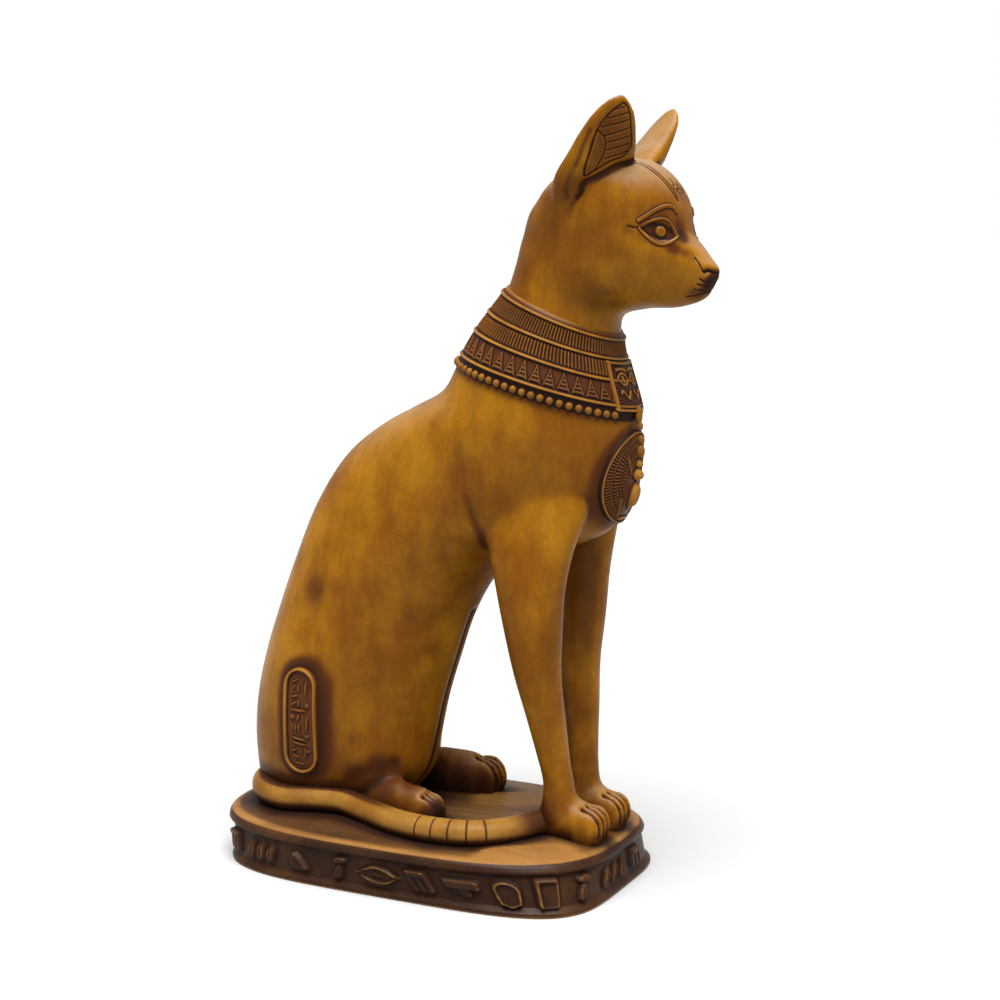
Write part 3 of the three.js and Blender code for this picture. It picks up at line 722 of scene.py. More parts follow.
body_smears = [  # radius, darkness, centre: brown left by the wiping, and painted shade where parts meet, low down and between the legs
    # haunch and flank: brown patches, and painted shade low on the haunch
    (17, 0.42, (-73, -59, 186)), (12, 0.30, (-52, -63, 190)), (14, 0.25, (-99, -41, 205)),
    (16, 0.35, (-82, -57, 26)), (18, 0.30, (-112, -50, 34)), (20, 0.30, (-146, -26, 40)),
    (9, 0.22, (14, -28, 139)), (8, 0.18, (-10, -35, 87)), (8, 0.40, (-40, -62, 66)),
    # elbow, and the breast under the collar
    (12, 0.25, (60, -50, 228)), (10, 0.30, (170, -12, 322)), (10, 0.30, (165, -28, 318)),
    # painted shade where the right hind foot goes into the haunch
    (14, 0.45, (-36, -51, 38)), (12, 0.40, (-20, -38, 34)), (15, 0.65, (-40, -55, 36)),
    (14, 0.65, (-24, -47, 42)), (13, 0.60, (-10, -40, 38)), (22, 0.70, (-20, -44, 22)),
    (24, 0.60, (-38, -54, 24)), (20, 0.60, (0, -36, 24)), (18, 0.55, (-66, -56, 14)),
    (22, 0.35, (-50, -60, 40)),
    # right and left hind feet: brown, and painted shade round the right one's toes and on the left one's side
    (17, 1.60, (36, -46, 10)), (14, 1.20, (26, -55, 4)), (12, 0.90, (26, -30, 10)),
    (22, 0.95, (-14, 30, 12)), (20, 0.95, (8, 32, 12)), (17, 0.95, (26, 37, 11)), (14, 1.10, (42, 44, 12)),
    # forefeet and their toes
    (15, 0.40, (126, -37, 28)), (12, 0.50, (108, -37, 18)), (14, 0.35, (128, 30, 28)),
    (16, 0.50, (140, 8, 16)), (14, 0.60, (134, -40, 4)), (14, 0.45, (152, -40, 2)),
    (12, 0.85, (166, -34, 2)), (12, 0.85, (168, -20, 2)), (12, 0.85, (167, -8, 2)),
    (12, 0.85, (167, 12, 4)), (12, 0.85, (166, 30, 4)),
    # painted shade on the inner side of the left foreleg
    (20, 0.55, (132, 12, 52)), (20, 0.55, (126, 10, 90)), (20, 0.55, (122, 9, 130)),
    (20, 0.55, (120, 8, 170)), (20, 0.45, (118, 8, 210)),
]
cartouche_middle, cartouche_size = (-83, 79), (31.5, 89)  # on the right haunch, along X and up
cartouche_lean = 0.055  # how far it leans forward for each length upward
cartouche_stain = (15, 7)  # how far brown spreads round it, and how much further in front of it
pendant_radius, pendant_height = 36, 282  # on the middle of the breast
pendant_narrow = 0.89  # its width as a share of its height


def within_cartouche(across, up):
    """How far a place is inside the cartouche's outline, two half circles joined by straight sides."""
    radius, length = cartouche_size[0] / 2, cartouche_size[1] / 2
    return radius - np.hypot(across, np.maximum(np.abs(up) - (length - radius), 0))


def marked(points, normals, lines, smears):
    """Heights to add along the normals and the darkness there, for lines and for smears."""
    lift, dark = np.zeros(len(points)), np.zeros(len(points))
    for half, depth, shade, line in lines:
        for side in (-1, 1) if line[0][1] >= 0 else (0,):
            deep = bell(away(points, normals, line, 3 * half, side), half)
            lift = np.minimum(lift, -depth * deep)
            dark = np.maximum(dark, shade * deep)
    for radius, shade, centre in smears:
        dark = np.maximum(dark, shade * bell(gap_to(points, centre), radius))
    return lift, dark


def body():
    """The trunk up to the collar, the forelegs and the feet as one skin, with the places where they meet
    smoothed, clefts between the toes and between the thighs, and soft creases round haunch and shoulder."""
    shells = [trunk_piece(0, trunk_shares[throat_station], 220, 160)]
    shells[0][0, :, 2] = plinth_height - 3
    for side in (-1, 1):
        shells.append(foreleg(side))
    for (heel, toe), (heel_out, toe_out), height, half_width in paws:
        shells += paw(heel, toe, heel_out, toe_out, height, half_width)
    shells.append(limb(hock_stations, 24, 40, upright=True))
    mesh = fused("cat_body", shells, body_cell)
    points, edges = points_of(mesh), edges_of(mesh)
    joints = [(x, y * side, z) for side in (-1, 1) for x, y, z in body_joints]
    points = averaged(points, edges, 21, hold=near(points, np.array(joints), 42))
    toes = [(toe - 18, toe_out + place * half_width, plinth_height + 12)
            for (_, toe), (_, toe_out), _, half_width in paws for place in (-0.6, 0, 0.6)]
    points = averaged(points, edges, 12, hold=near(points, np.array(toes), 34))
    points = averaged(points, edges, 12, hold=near(points, np.array([hock_joint]), hock_soft))
    points = averaged(points, edges, 2)
    move(mesh, points)
    feet = (points[:, 2] < plinth_height + 42) & (points[:, 2] > plinth_height - 2)
    refined(mesh, feet & ((points[:, 0] > 100) | ((points[:, 0] > -20) & (np.abs(points[:, 1]) > 24))))
    points, normals = points_of(mesh), normals_of(mesh)
    lift, dark = marked(points, normals, body_lines, body_smears)
    for (heel, toe), (_, toe_out), height, half_width in paws:
        for line in toe_lines(heel, toe, toe_out, height, half_width):
            distance = away(points, normals, line, 9)
            lift = np.minimum(lift, -cleft_depth * bell(distance, cleft_half))
            dark = np.maximum(dark, cleft_dark * bell(distance, cleft_stain))
    height = points[:, 2] - plinth_height
    # painted shade low on the body where it meets the plinth, and beside the tail
    floor_shade = smooth((24 - height) / 24) * (0.75 - 0.4 * (points[:, 0] > 140))
    tail_dark = 0.85 * beside(points, tail_path, tail_radius + 26) * smooth((46 - height) / 28)
    dark = np.maximum(dark, np.maximum(floor_shade, tail_dark))
    x, y, z = (points - [0, 0, plinth_height]).T
    # painted shade on the sides of the forelegs that face each other
    between_legs = (x > 85) * (np.abs(y) < 50) * smooth((250 - z) / 40)
    dark = np.maximum(dark, 0.34 * between_legs * smooth(-normals[:, 1] * np.sign(y) * 1.4 - 0.1))
    up = z - cartouche_middle[1]
    outside = -within_cartouche(x - cartouche_middle[0] - cartouche_lean * up, up)
    halo = cartouche_stain[0] + cartouche_stain[1] * smooth((x - cartouche_middle[0]) / 20)
    dark = np.maximum(dark, 0.8 * smooth((halo - outside) / halo) * (y < -30))
    # painted shadow round the pendant on the breast
    ring = np.hypot(y / pendant_narrow, z - pendant_height) / pendant_radius
    dark = np.maximum(dark, 0.55 * smooth((1.35 - ring) / 0.3) * (x > 130))
    hem = trunk_skin(collar_share(-0.16), turns(160))
    dark = np.maximum(dark, 0.55 * near(points, hem, 13))
    move(mesh, points + normals * lift[:, None])
    return mesh, dark


body_paint = antiqued("body_resin", pigment(112, 66, 3), pigment(146, 98, 14), pigment(70, 35, 9),
                      pigment(36, 18, 10), 0.36, cloudy=0.8)
body_mesh, body_dark = body()
cat_body = finished("cat_body", body_mesh, body_paint, brown_and_shade=body_dark, gain=0.8, rub=0.6, spread=3,
                    painted_sheen=0.5)
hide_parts("bastet_cat")

# Head
# The head and the tall ears are cast with the neck. Eyes, brows, ears and mouth are modelled in low relief,
# with fine cut lines that hold the brown. The paint is the body's, with painted shade under the nose and by
# the ears' roots, and a stronger pale painted sheen on what faces up.
head_cell = 1.22  # of the voxels that join neck and ears
ear_stations = [  # front edge (x, y, z), back edge (x, y, z), half thickness
    [166, 8, 482, 112, 14, 442, 5],
    [174, 15, 500, 118, 24, 464, 8],
    [180, 19, 514, 123, 39, 484, 11],
    [185, 27, 525, 130.5, 52, 501, 12.5],
    [188, 34, 534, 144, 56, 519, 9.5],
    [190, 40, 543, 154.5, 58, 534, 6.8],
    [190, 46, 551, 166, 58, 548, 4.4],
    [187.5, 50, 557, 176, 55.5, 556.5, 2.3],
    [184.5, 52, 560, 183.5, 52.5, 560, 0.6],
]
ear_field = [(186, 53, 554), (177, 56, 547), (168, 58, 535), (163, 57, 522), (157, 54, 508), (156, 52, 503),
             (161, 51, 505), (173, 46, 513), (183, 38, 519), (186, 37, 523), (188, 42, 535), (189, 48, 547),
             (188, 52, 553), (186, 53, 554)]
ear_lobe = [(168, 58, 535), (172, 54, 530), (172, 52, 522), (167, 51, 512), (161, 51, 504), (156, 52, 502),
            (156, 54, 507), (160, 56, 516), (164, 58, 527), (168, 58, 535)]
ear_stripes = [
    [(180, 55, 549), (187, 52, 551)], [(175, 56, 543), (188, 49, 547)], [(171, 57, 537), (188, 47, 542)],
    [(172, 54, 531), (187, 44, 537)], [(173, 53, 526), (187, 42, 531)], [(173, 51, 521), (186, 40, 526)],
    [(171, 50, 515), (184, 38, 521)],
]
forehead_loop = [(183.5, 22.2, 514.5), (190, 21.4, 511.4), (196.6, 19.8, 507), (202.8, 17.6, 501.3),
                 (208.3, 15, 494), (212.5, 11.6, 486.5), (209.3, 11.4, 494), (205, 13.6, 500),
                 (199.5, 15.6, 505.8), (193, 17.3, 510.9), (185.3, 18, 515)]
eye_corners = (193.8, 39.8, 466.2), (215.8, 20.8, 460.2)  # outer and inner
eye_half_height, eye_depth, pupil_radius, pupil_rise = 7.6, 1.9, 4.9, 2.0
upper_lid = [(193.4, 40, 466.3), (196.6, 38.3, 468.5), (200.5, 35.5, 471), (204.2, 32.3, 472.6),
             (207.5, 28.8, 473), (210.2, 24.9, 471.3), (212.5, 22, 467.5), (215.7, 20.4, 460.4)]
lower_lid = [(194.1, 39.8, 465.7), (196.6, 38, 462.6), (199.9, 35.7, 458.8), (203.3, 33.5, 456),
             (207.6, 30.6, 454.6), (211.4, 27.2, 455.6), (215.3, 21.6, 459.8)]
brow = [(193.1, 40.3, 471.6), (197.2, 38, 474.4), (201.5, 35.2, 477.6), (205.4, 31.5, 480.3),
        (208.4, 27.4, 482), (210.8, 22.7, 482), (212.6, 19.2, 480.4), (213.4, 17.8, 478)]
cut_lines = [  # half width, depth, darkness, points on one side, which the other mirrors
    (0.6, 0.9, 0.85, ear_field), (0.55, 0.8, 0.75, ear_lobe),
    # folds round the ear's root, with brown and painted shade under the ear in them
    (2.4, 1.4, 0.65, [(180, 22, 517), (177, 39, 511), (165, 47, 502), (155, 50, 497), (147, 49, 489)]),
    (3.6, 0.7, 0.4, [(157, 50, 499), (149, 49.5, 491), (143, 48, 484)]),
    (6.0, 0.4, 0.25, [(146, 49, 487), (141, 47, 479)]),
    (2.6, 0.5, 0.35, [(163, 59, 535), (158, 59, 526), (154, 58, 517), (151, 57, 511)]),
    (3.4, 0.5, 0.3, [(149, 57, 509), (144, 56, 499), (140, 52, 488)]),
    # forehead, and the eye's outer corner
    (0.8, 0.9, 1.0, forehead_loop),
    (0.8, 0.6, 0.55, [(186, 43.2, 467.7), (190.2, 41.5, 466.8), (193.6, 40, 466.3)]),
    # nose, nostril, and the line down from the nose
    (0.9, 0.9, 0.65, [(227.7, 14.8, 445.2), (229.7, 14.3, 442.8), (231.3, 14.2, 439.7), (232.8, 13, 435.5)]),
    (1.7, 2.6, 1.0, [(234, 11.4, 435), (236.1, 9.6, 436), (238.5, 6.8, 435.6), (241, 4, 434)]),
    (1.0, 1.4, 1.0, [(242, 0, 433), (240, 0, 428), (236, 0, 420)]),
    # mouth, and the whiskers' roots
    (0.9, 1.1, 0.9, [(236, 3, 421), (232, 7, 418), (228, 10, 416), (222, 14, 414.5)]),
    (0.7, 0.8, 0.8, [(235.8, 6.2, 427), (233, 10, 428), (230.6, 13, 430)]),
    (0.7, 0.8, 0.8, [(234.5, 6.5, 424), (232, 10, 425), (229, 13.5, 426)]),
    (0.7, 0.8, 0.8, [(232.8, 7, 421.3), (229.7, 10.5, 421.6), (227, 13.5, 422)]),
    # marks on the forehead
    (0.7, 0.6, 1.0, [(206.9, 1.6, 499.2), (208.7, 0.4, 496.3), (209.5, 5.4, 494.6), (211.1, 2.2, 491.8)]),
    (0.7, 0.6, 1.0, [(204, 7, 502.3), (207, 6, 498.6), (207.6, 8.4, 496.8), (210.4, 6.6, 492.6)]),
] + [(0.5, 0.7, 0.65, stripe) for stripe in ear_stripes]
raised_lines = [  # half width, height, and how dark their edges are
    (0.6, 0.9, 0.6, upper_lid), (0.6, 0.8, 0.5, lower_lid), (1.0, 0.9, 0.6, brow),
]
ear_roots = [(120, 34, 468), (130, 42, 478), (145, 46, 490), (112, 26, 456), (122, 44, 488), (128, 50, 496),
             (108, 30, 470), (112, 38, 484)]
head_smears = [  # radius, darkness, centre: brown rubbed into the soft hollows, and painted shade under the nose and at the ear's root
    # eye and cheek
    (5, 0.35, (188, 42.5, 467)), (8, 0.8, (218, 17, 462)), (8, 0.5, (215, 26, 452)),
    (8, 0.5, (217, 16, 469)), (12, 0.30, (206, 34, 464)), (7, 0.35, (221, 20, 448)),
    (9, 0.3, (207, 29, 477)), (7, 0.45, (199, 36, 466)),
    # nose and mouth: brown, and painted shade under the nose
    (7, 1.5, (241, 4, 430)), (8, 1.7, (239, 7, 424)), (7, 1.4, (235, 10, 419)), (9, 0.7, (229, 12, 416)),
    (8, 1.3, (240, 4, 418)), (8, 0.8, (231, 8, 411)), (10, 0.3, (227, 18, 443)),
    # throat, ear's root and forehead; at the ear's root it is partly painted shade
    (16, 0.3, (160, 34, 418)), (12, 0.3, (168, 26, 411)), (14, 0.22, (130, 40, 470)),
    (12, 0.3, (150, 50, 500)), (10, 0.3, (212, 3, 492)),
]
dents = [  # radius, depth (swellings are below 0), centre
    (8, 2.6, (244, 0, 424)), (4, 0.8, (238, 9, 432)), (9, -1.0, (228, 15, 425)), (7, 1.2, (219, 15, 464)),
    (8, 0.8, (226, 18, 444)),
]


def ear(side):
    """Flat ellipses whose long axis runs from the ear's front edge to its back edge, from root to tip."""
    rows = track(ear_stations, [0, 1, 2, 3, 4, 5], np.linspace(0, 1, 90))
    mirror, lift = np.array([1, side, 1]), np.array([0, 0, plinth_height])
    front, rear = rows[:, 0:3] * mirror + lift, rows[:, 3:6] * mirror + lift
    broad = (front - rear) / 2
    thin = np.cross(front[-1] + rear[-1] - front[0] - rear[0], broad)
    thin *= (rows[:, 6] / np.linalg.norm(thin, axis=1))[:, None]
    t = turns(48)[None, :, None]
    return ((front + rear) / 2)[:, None] + broad[:, None] * np.cos(t) + thin[:, None] * np.sin(t)


def inside(a, b, outline):
    """Whether flat points lie in a closed outline, by counting its crossings to one side."""
    result = np.zeros(a.shape, bool)
    for (x0, y0), (x1, y1) in zip(outline[:-1], outline[1:]):
        crossed = (y0 > b) != (y1 > b)
        result ^= crossed & (a < x0 + (b - y0) / (y1 - y0 + 1e-9) * (x1 - x0))
    return result


def eye_shares(points, side):
    """How far each point is in the eye's sunk lens and on the dome of its pupil, 0 to 1. The lens's half
    height falls from its middle to the eye's corners as 1 - a squared, to the power 0.75, where a runs
    from -1 to 1 between them."""
    outer, inner = (np.array(corner, float) * [1, side, 1] for corner in eye_corners)
    length = np.linalg.norm(inner - outer)
    ahead = (inner - outer) / length
    high = np.array([0, 0, 1.0]) - ahead * ahead[2]
    high /= np.linalg.norm(high)
    out = np.cross(ahead, high) * -side
    reach = points - ((outer + inner) / 2 + [0, 0, plinth_height])
    a = reach @ ahead / length * 2
    b = reach @ high - 0.9
    lens = eye_half_height * np.clip(1 - a * a, 0, 1) ** 0.75 + 1e-6
    deep = smooth((1 - np.abs(b) / lens) / 0.4) * (np.abs(a) < 1) * (reach @ out > -12)
    return deep, smooth((pupil_radius - np.hypot(a * 14.5 - 1.2, b - 0.2)) / 1.8)


def in_ear_field(points, normals, side):
    """Whether points lie in the ear's sunk field, seen square to the plane of its long and short side."""
    field = np.array(ear_field, float) * [1, side, 1] + [0, 0, plinth_height]
    centre = field[:-1].mean(0)
    along = field[0] - field[6]
    along /= np.linalg.norm(along)
    face = np.cross(along, field[10] - field[3])
    face *= np.sign(face @ [1, side, 0]) / np.linalg.norm(face)
    across = np.cross(face, along)
    outline = np.stack([(field - centre) @ across, (field - centre) @ along], -1)
    a, b = (points - centre) @ across, (points - centre) @ along
    facing = (normals @ face > 0.3) & (np.abs((points - centre) @ face) < 9)
    return inside(a, b, outline) & facing & (points[:, 1] * side > 30)


def carved(points, normals):
    """Heights to add along the normals, and the darkness there: the lines, the sunk eyes with their
    domed pupils, and the ears' sunk fields."""
    lift, dark = np.zeros(len(points)), np.zeros(len(points))
    for side in (-1, 1):
        for half, depth, shade, line in cut_lines:
            distance = away(points, normals, line, 4 * half, side)
            lift -= depth * np.exp(-(distance / half) ** 2 / 1.2)
            dark = np.maximum(dark, shade * bell(distance, half))
        for radius, shade, centre in head_smears:
            dark = np.maximum(dark, shade * bell(gap_to(points, centre, side), radius))
        for radius, depth, centre in dents:
            part = 0.5 if centre[1] == 0 else 1  # one on the middle line counts for both sides
            lift -= part * depth * bell(gap_to(points, centre, side), radius)
        deep, dome = eye_shares(points, side)
        lift += -eye_depth * deep + deep * dome * pupil_rise
        dark = np.maximum(dark, 0.62 * deep * (1 - dome))
        sunk = in_ear_field(points, normals, side)
        dark = np.maximum(dark, 0.34 * sunk)
        lift -= 0.5 * sunk
        for half, height, shade, line in raised_lines:
            distance = away(points, normals, line, 4 * half, side)
            band = smooth((half + 0.7 - distance) / 0.7)
            lift += height * band
            dark = np.maximum(dark, shade * bell(distance - half - 0.9, 0.6)) * (1 - band)
    return lift, dark


def head():
    """The trunk's skin above the collar and the ears as one skin, smoothed at the ears' roots, with finer
    faces along the lines that are cut into it."""
    shells = [trunk_piece(trunk_shares[throat_station - 1], 1, 160, 200), ear(-1), ear(1)]
    mesh = fused("cat_head", shells, head_cell)
    points, edges = points_of(mesh), edges_of(mesh)
    roots = [(x, y * side, z + plinth_height) for side in (-1, 1) for x, y, z in ear_roots]
    points = averaged(points, edges, 42, hold=near(points, np.array(roots), 24))
    points = averaged(points, edges, 4)
    move(mesh, points)
    normals = normals_of(mesh)
    fine = np.zeros(len(points), bool)
    for side in (-1, 1):
        for *_, line in cut_lines + raised_lines:
            fine |= away(points, normals, line, 3.2, side) < 3.1
    refined(mesh, fine)
    points, normals = points_of(mesh), normals_of(mesh)
    lift, dark = carved(points, normals)
    move(mesh, points + normals * lift[:, None])
    return mesh, dark


head_mesh, head_dark = head()
finished("cat_head", head_mesh, body_paint, brown_and_shade=head_dark, gain=0.8, rub=0.6, spread=2, painted_sheen=1.0)

# Tail
# It comes round the rump and lies along the cat's right side on the plinth, to the right forepaw. It is
# cast with both, with five grooves round it towards its tip, and brown lies in them. Painted shade lies
# low on its sides, and its top is rubbed lighter, partly as a painted highlight.
tail_rings, ring_half, ring_depth = np.linspace(0.69, 0.845, 5), 0.0018, 0.9  # the depth in millimetres
tail_rows, tail_columns = 620, 40  # of its mesh


def tail():
    """A circle carried along the path, narrowed at each ring. With it come its darkness: brown in the rings,
    towards the body and at the tip, and painted shade low down; and its rubbed places along its top, partly a
    painted highlight."""
    share = np.linspace(0, 1, tail_rows)
    line = track(tail_path, [0, 1, 2], share) + [0, 0, plinth_height]
    ahead = np.gradient(line, axis=0)
    ahead /= np.linalg.norm(ahead, axis=1, keepdims=True)
    across = np.cross(ahead, [0, 0, 1.0])
    across /= np.linalg.norm(across, axis=1, keepdims=True)
    high = np.cross(across, ahead)
    rings = bell(share[:, None] - tail_rings, ring_half).sum(1)
    radius = (tail_radius - ring_depth * rings)[:, None, None]
    t = turns(tail_columns)[None, :, None]
    points = line[:, None] + radius * (-across[:, None] * np.cos(t) + high[:, None] * np.sin(t))
    up, inward = np.sin(t[..., 0]), np.cos(t[..., 0])
    # brown in the rings, and painted shade on the underside
    dark = np.maximum(0.8 * rings[:, None], 0.9 * smooth((0.2 - up) / 0.9))
    inner = smooth((0.3 * inward + up - 0.62) / 0.3) * smooth((0.66 - share[:, None]) / 0.2)
    dark = np.maximum(dark, 0.75 * inner)
    dark = np.maximum(dark, 0.6 * smooth((share[:, None] - 0.88) / 0.1))
    # rubbed ochre along the outer top, partly a painted highlight
    rubbed = 0.22 * smooth(up * 1.6 - 0.3 - inward) * (1 - rings[:, None]) * (1 - inner)
    return skin_mesh("tail", points, grid_faces(tail_rows, tail_columns)), dark.ravel(), rubbed.ravel()


tail_mesh, tail_dark, tail_rub_and_highlight = tail()
tail_paint = antiqued("tail_resin", pigment(106, 68, 16), pigment(134, 96, 38), pigment(66, 36, 16),
                      pigment(32, 17, 10), 0.5, brush=(0.3, 0.6, 1))
finished("tail", tail_mesh, tail_paint, brown_and_shade=tail_dark, gain=0, rub=0, rubbed=tail_rub_and_highlight)

# Collar
# A broad collar cast on the neck: four raised bands, two rows of ribs, a row of barred triangles and a row
# of beads along its lower edge. Brown fills it, and the bands and beads are rubbed ochre.
collar_bands = [0, 0.38, 0.7, 1]  # shares of the collar's depth, from the bead row's band to the throat's
collar_proud, band_proud = 2.0, 4.0
bead_row, bead_radius, bead_spacing, bead_proud = -0.145, 2.9, 7.2, 1.7
bead_gap = 0.36  # radians from the front to either side, where the plaque is
rib_spacing, rib_height, rib_rows = 2.8, 1.1, (0.54, 0.85)
triangle_spacing, triangle_height = 9.6, 1.1
collar_columns = 760  # of its mesh


def even_turns(part, count=None, spacing=None):
    """Angles round the collar at equal steps along its skin, from the back, and their lengths along it."""
    dense = np.linspace(-np.pi, np.pi, 4001)
    line = trunk_skin(collar_share(part), dense)
    gone = np.concatenate([[0], np.cumsum(np.linalg.norm(np.diff(line, axis=0), axis=1))])
    count = count or int(round(gone[-1] / spacing))
    along = np.linspace(0, gone[-1], count, endpoint=False)
    return np.interp(along, gone, dense), along


def ridge(distance, half, edge):
    """1 within half of a line, falling softly to 0 over edge."""
    return smooth((half + edge - np.abs(distance)) / edge)


def triangles(across, up):
    """Upright triangles with a raised outline and three bars in each, as a height; across runs from -1 to
    1 over one triangle's place and up from 0 to 1."""
    inset = 0.86 * (1 - up) - np.abs(across)
    bars = ridge(np.mod(up * 4.6, 1) - 0.5, 0.2, 0.2) * (inset > 0.15) * (up < 0.72)
    return np.maximum(ridge(inset - 0.08, 0.05, 0.08), 0.8 * bars) * (up > 0)


def collar():
    """The neck's skin between the beads and the throat, stood out by bands, ribs and triangles. Its rows
    lie at parts of the collar's depth, close together on the bands' edges and under the triangles."""
    angle, along = even_turns(0.4, count=collar_columns)
    parts = [-0.235, -0.22, -0.2, -0.12, -0.06]
    for band in collar_bands:
        parts += (band + 0.034 * np.linspace(-1, 1, 11)).tolist()
    parts += np.linspace(0.06, 0.32, 30).tolist() + np.linspace(0.44, 0.64, 8).tolist()
    parts += np.linspace(0.76, 0.94, 8).tolist() + [1.07, 1.09]
    parts = np.sort(np.array(parts))[:, None]
    bands = np.max([ridge(parts - band, 0.009, 0.022) for band in collar_bands], axis=0)
    rib = 0.5 + 0.5 * np.cos(2 * np.pi * along / (along[-1] / round(along[-1] / rib_spacing)))[None, :]
    ribbed = sum(ridge(parts - row, 0.10, 0.03) for row in rib_rows)
    across = np.mod(along / (along[-1] / round(along[-1] / triangle_spacing)), 1) * 2 - 1
    shapes = triangles(across[None, :], (parts - 0.05) / 0.28) * ridge(parts - 0.19, 0.14, 0.01)
    base = collar_proud * smooth((parts + 0.235) / 0.14) * smooth((1.09 - parts) / 0.03)
    base = base - 1.5 * (parts < -0.23) - 1.5 * (parts > 1.08)
    height = base + (band_proud - collar_proud) * bands + rib_height * rib * ribbed + triangle_height * shapes
    points = trunk_skin(collar_share(parts), angle[None, :], height)
    rubbed = 0.74 * bands + 0.32 * rib * ribbed + 0.28 * shapes
    dark = 0.85 * smooth((-0.03 - parts) / 0.03) + 0.3 * (1 - bands) * (1 - rib * ribbed) * (1 - shapes)
    return skin_mesh("collar", points, grid_faces(len(parts), collar_columns)), rubbed.ravel(), dark.ravel()


def beads():
    """Balls sunk into the collar's lower edge at equal steps round it, but not at the plaque."""
    angle, _ = even_turns(bead_row, spacing=bead_spacing)
    centres = trunk_skin(collar_share(bead_row), angle[np.abs(angle) > bead_gap], bead_proud)
    return shells_mesh("collar_beads", centres[:, None, None, :] + bead_radius * ball(7, 12, 0.05)[None])


collar_paint = antiqued("collar_resin", pigment(80, 42, 18), pigment(142, 96, 30), pigment(58, 29, 15),
                        pigment(27, 14, 10), 0.6, cloudy=0.15)
collar_mesh, collar_rub, collar_dark = collar()
finished("collar", collar_mesh, collar_paint, brown_and_shade=collar_dark, gain=1.4, rub=0.3, rubbed=collar_rub)
finished("collar_beads", beads(), collar_paint, brown_and_shade=0.0, gain=0, rub=0, rubbed=0.58)

# Plaque
# A square plate cast on the front of the collar, with a raised frame, a ladder border and, on either half,
# a raised eye over a curl. It is painted and wiped as the collar is.
plaque_reach = 0.42  # radians from the front to either side
plaque_parts = (-0.07, 0.66)  # of the collar's depth, at its lower and upper edge
plaque_proud, frame_rise, ladder_rise, mark_rise = 3.4, 1.9, 0.8, 1.5
plaque_rows, plaque_columns, plaque_behind = 110, 120, 12  # of its mesh


def plaque():
    """Rows of the plate from bottom to top, each running over its front and back behind it. Frame, ladder,
    eyes and curls are ridges along their lines."""
    up = np.linspace(0, 1, plaque_rows)[:, None]
    across = np.linspace(-1, 1, plaque_columns)[None, :]
    out = np.abs(across)
    frame_line = np.maximum(ridge(out - 0.93, 0.03, 0.05), ridge(np.abs(up * 2 - 1) - 0.95, 0.02, 0.04))
    ladder = ridge(out - 0.8, 0.05, 0.02) * (0.5 + 0.5 * np.cos(up * 2 * np.pi * 17))
    ladder += ridge(up - 0.13, 0.03, 0.02) * (0.5 + 0.5 * np.cos(across * np.pi * 17)) * (out < 0.7)
    beside_eye, above_eye = (out - 0.36) / 0.3, (up - 0.66) / 0.13
    lens = np.abs(above_eye) + beside_eye * beside_eye
    eye = ridge(lens - 0.9, 0.1, 0.2) + ridge(np.hypot(beside_eye * 0.3, above_eye * 0.11), 0.05, 0.04)
    arch = ridge(up - 0.86 + 0.35 * (out - 0.36) ** 2, 0.015, 0.03) * (np.abs(out - 0.36) < 0.3)
    curl = ridge(up - 0.34 - 0.07 * np.sin(out * 14), 0.02, 0.035) * (np.abs(out - 0.38) < 0.27)
    marks = np.clip(eye + arch + curl, 0, 1) * (out < 0.72)
    height = plaque_proud + frame_rise * frame_line + ladder_rise * ladder * (1 - frame_line)
    height = height + mark_rise * marks
    share = collar_share(plaque_parts[0] + up * (plaque_parts[1] - plaque_parts[0]))
    front = trunk_skin(share, across * plaque_reach, height)
    behind = trunk_skin(share, np.linspace(1, -1, plaque_behind)[None, :] * plaque_reach, -3)
    plain = np.zeros((plaque_rows, plaque_behind))
    rubbed = np.concatenate([0.7 * frame_line + 0.65 * marks + 0.2 * ladder, plain], 1)
    dark = np.concatenate([0.5 * (1 - np.clip(frame_line + marks, 0, 1)), plain], 1)
    faces = grid_faces(plaque_rows, plaque_columns + plaque_behind)
    return skin_mesh("plaque", np.concatenate([front, behind], 1), faces), rubbed.ravel(), dark.ravel()


plaque_mesh, plaque_rub, plaque_dark = plaque()
finished("plaque", plaque_mesh, collar_paint, brown_and_shade=plaque_dark, gain=1.6, rub=0.3, rubbed=plaque_rub)

# Pendant
# A round pendant on the breast: a rim, rings of fine ribs round it, and a scarab with two balls over it.
# Two more balls link it to the plaque. It is cast with the breast, and painted and wiped as the collar is.
pendant_proud = 4.2
pendant_columns = 430  # of its mesh
pendant_rings = [  # place as a share of the radius, half width, edge, height, ribs, or 0 where it is plain
    (0.87, 0.06, 0.02, 0.9, 84), (0.79, 0.008, 0.014, 0.5, 0), (0.70, 0.055, 0.02, 1.0, 62),
    (0.59, 0.012, 0.02, 0.9, 62), (0.48, 0.05, 0.02, 0.9, 46), (0.38, 0.01, 0.02, 0.5, 0),
]
pendant_balls = [  # from the scarab up to the plaque: height over the middle, half width, half height
    (20.5, 3.4, 4.6), (29.5, 2.6, 3.0), (39.5, 2.4, 3.2), (47.5, 3.0, 6.5),
]


def on_skin(test, shape, low, high):
    """Shares of the trunk between two others at which a test that rises along it passes 0, by halving,
    for an array of a shape."""
    low, high = np.full(shape, float(low)), np.full(shape, float(high))
    for _ in range(22):
        middle = (low + high) / 2
        below = test(middle) < 0
        low, high = np.where(below, middle, low), np.where(below, high, middle)
    return low


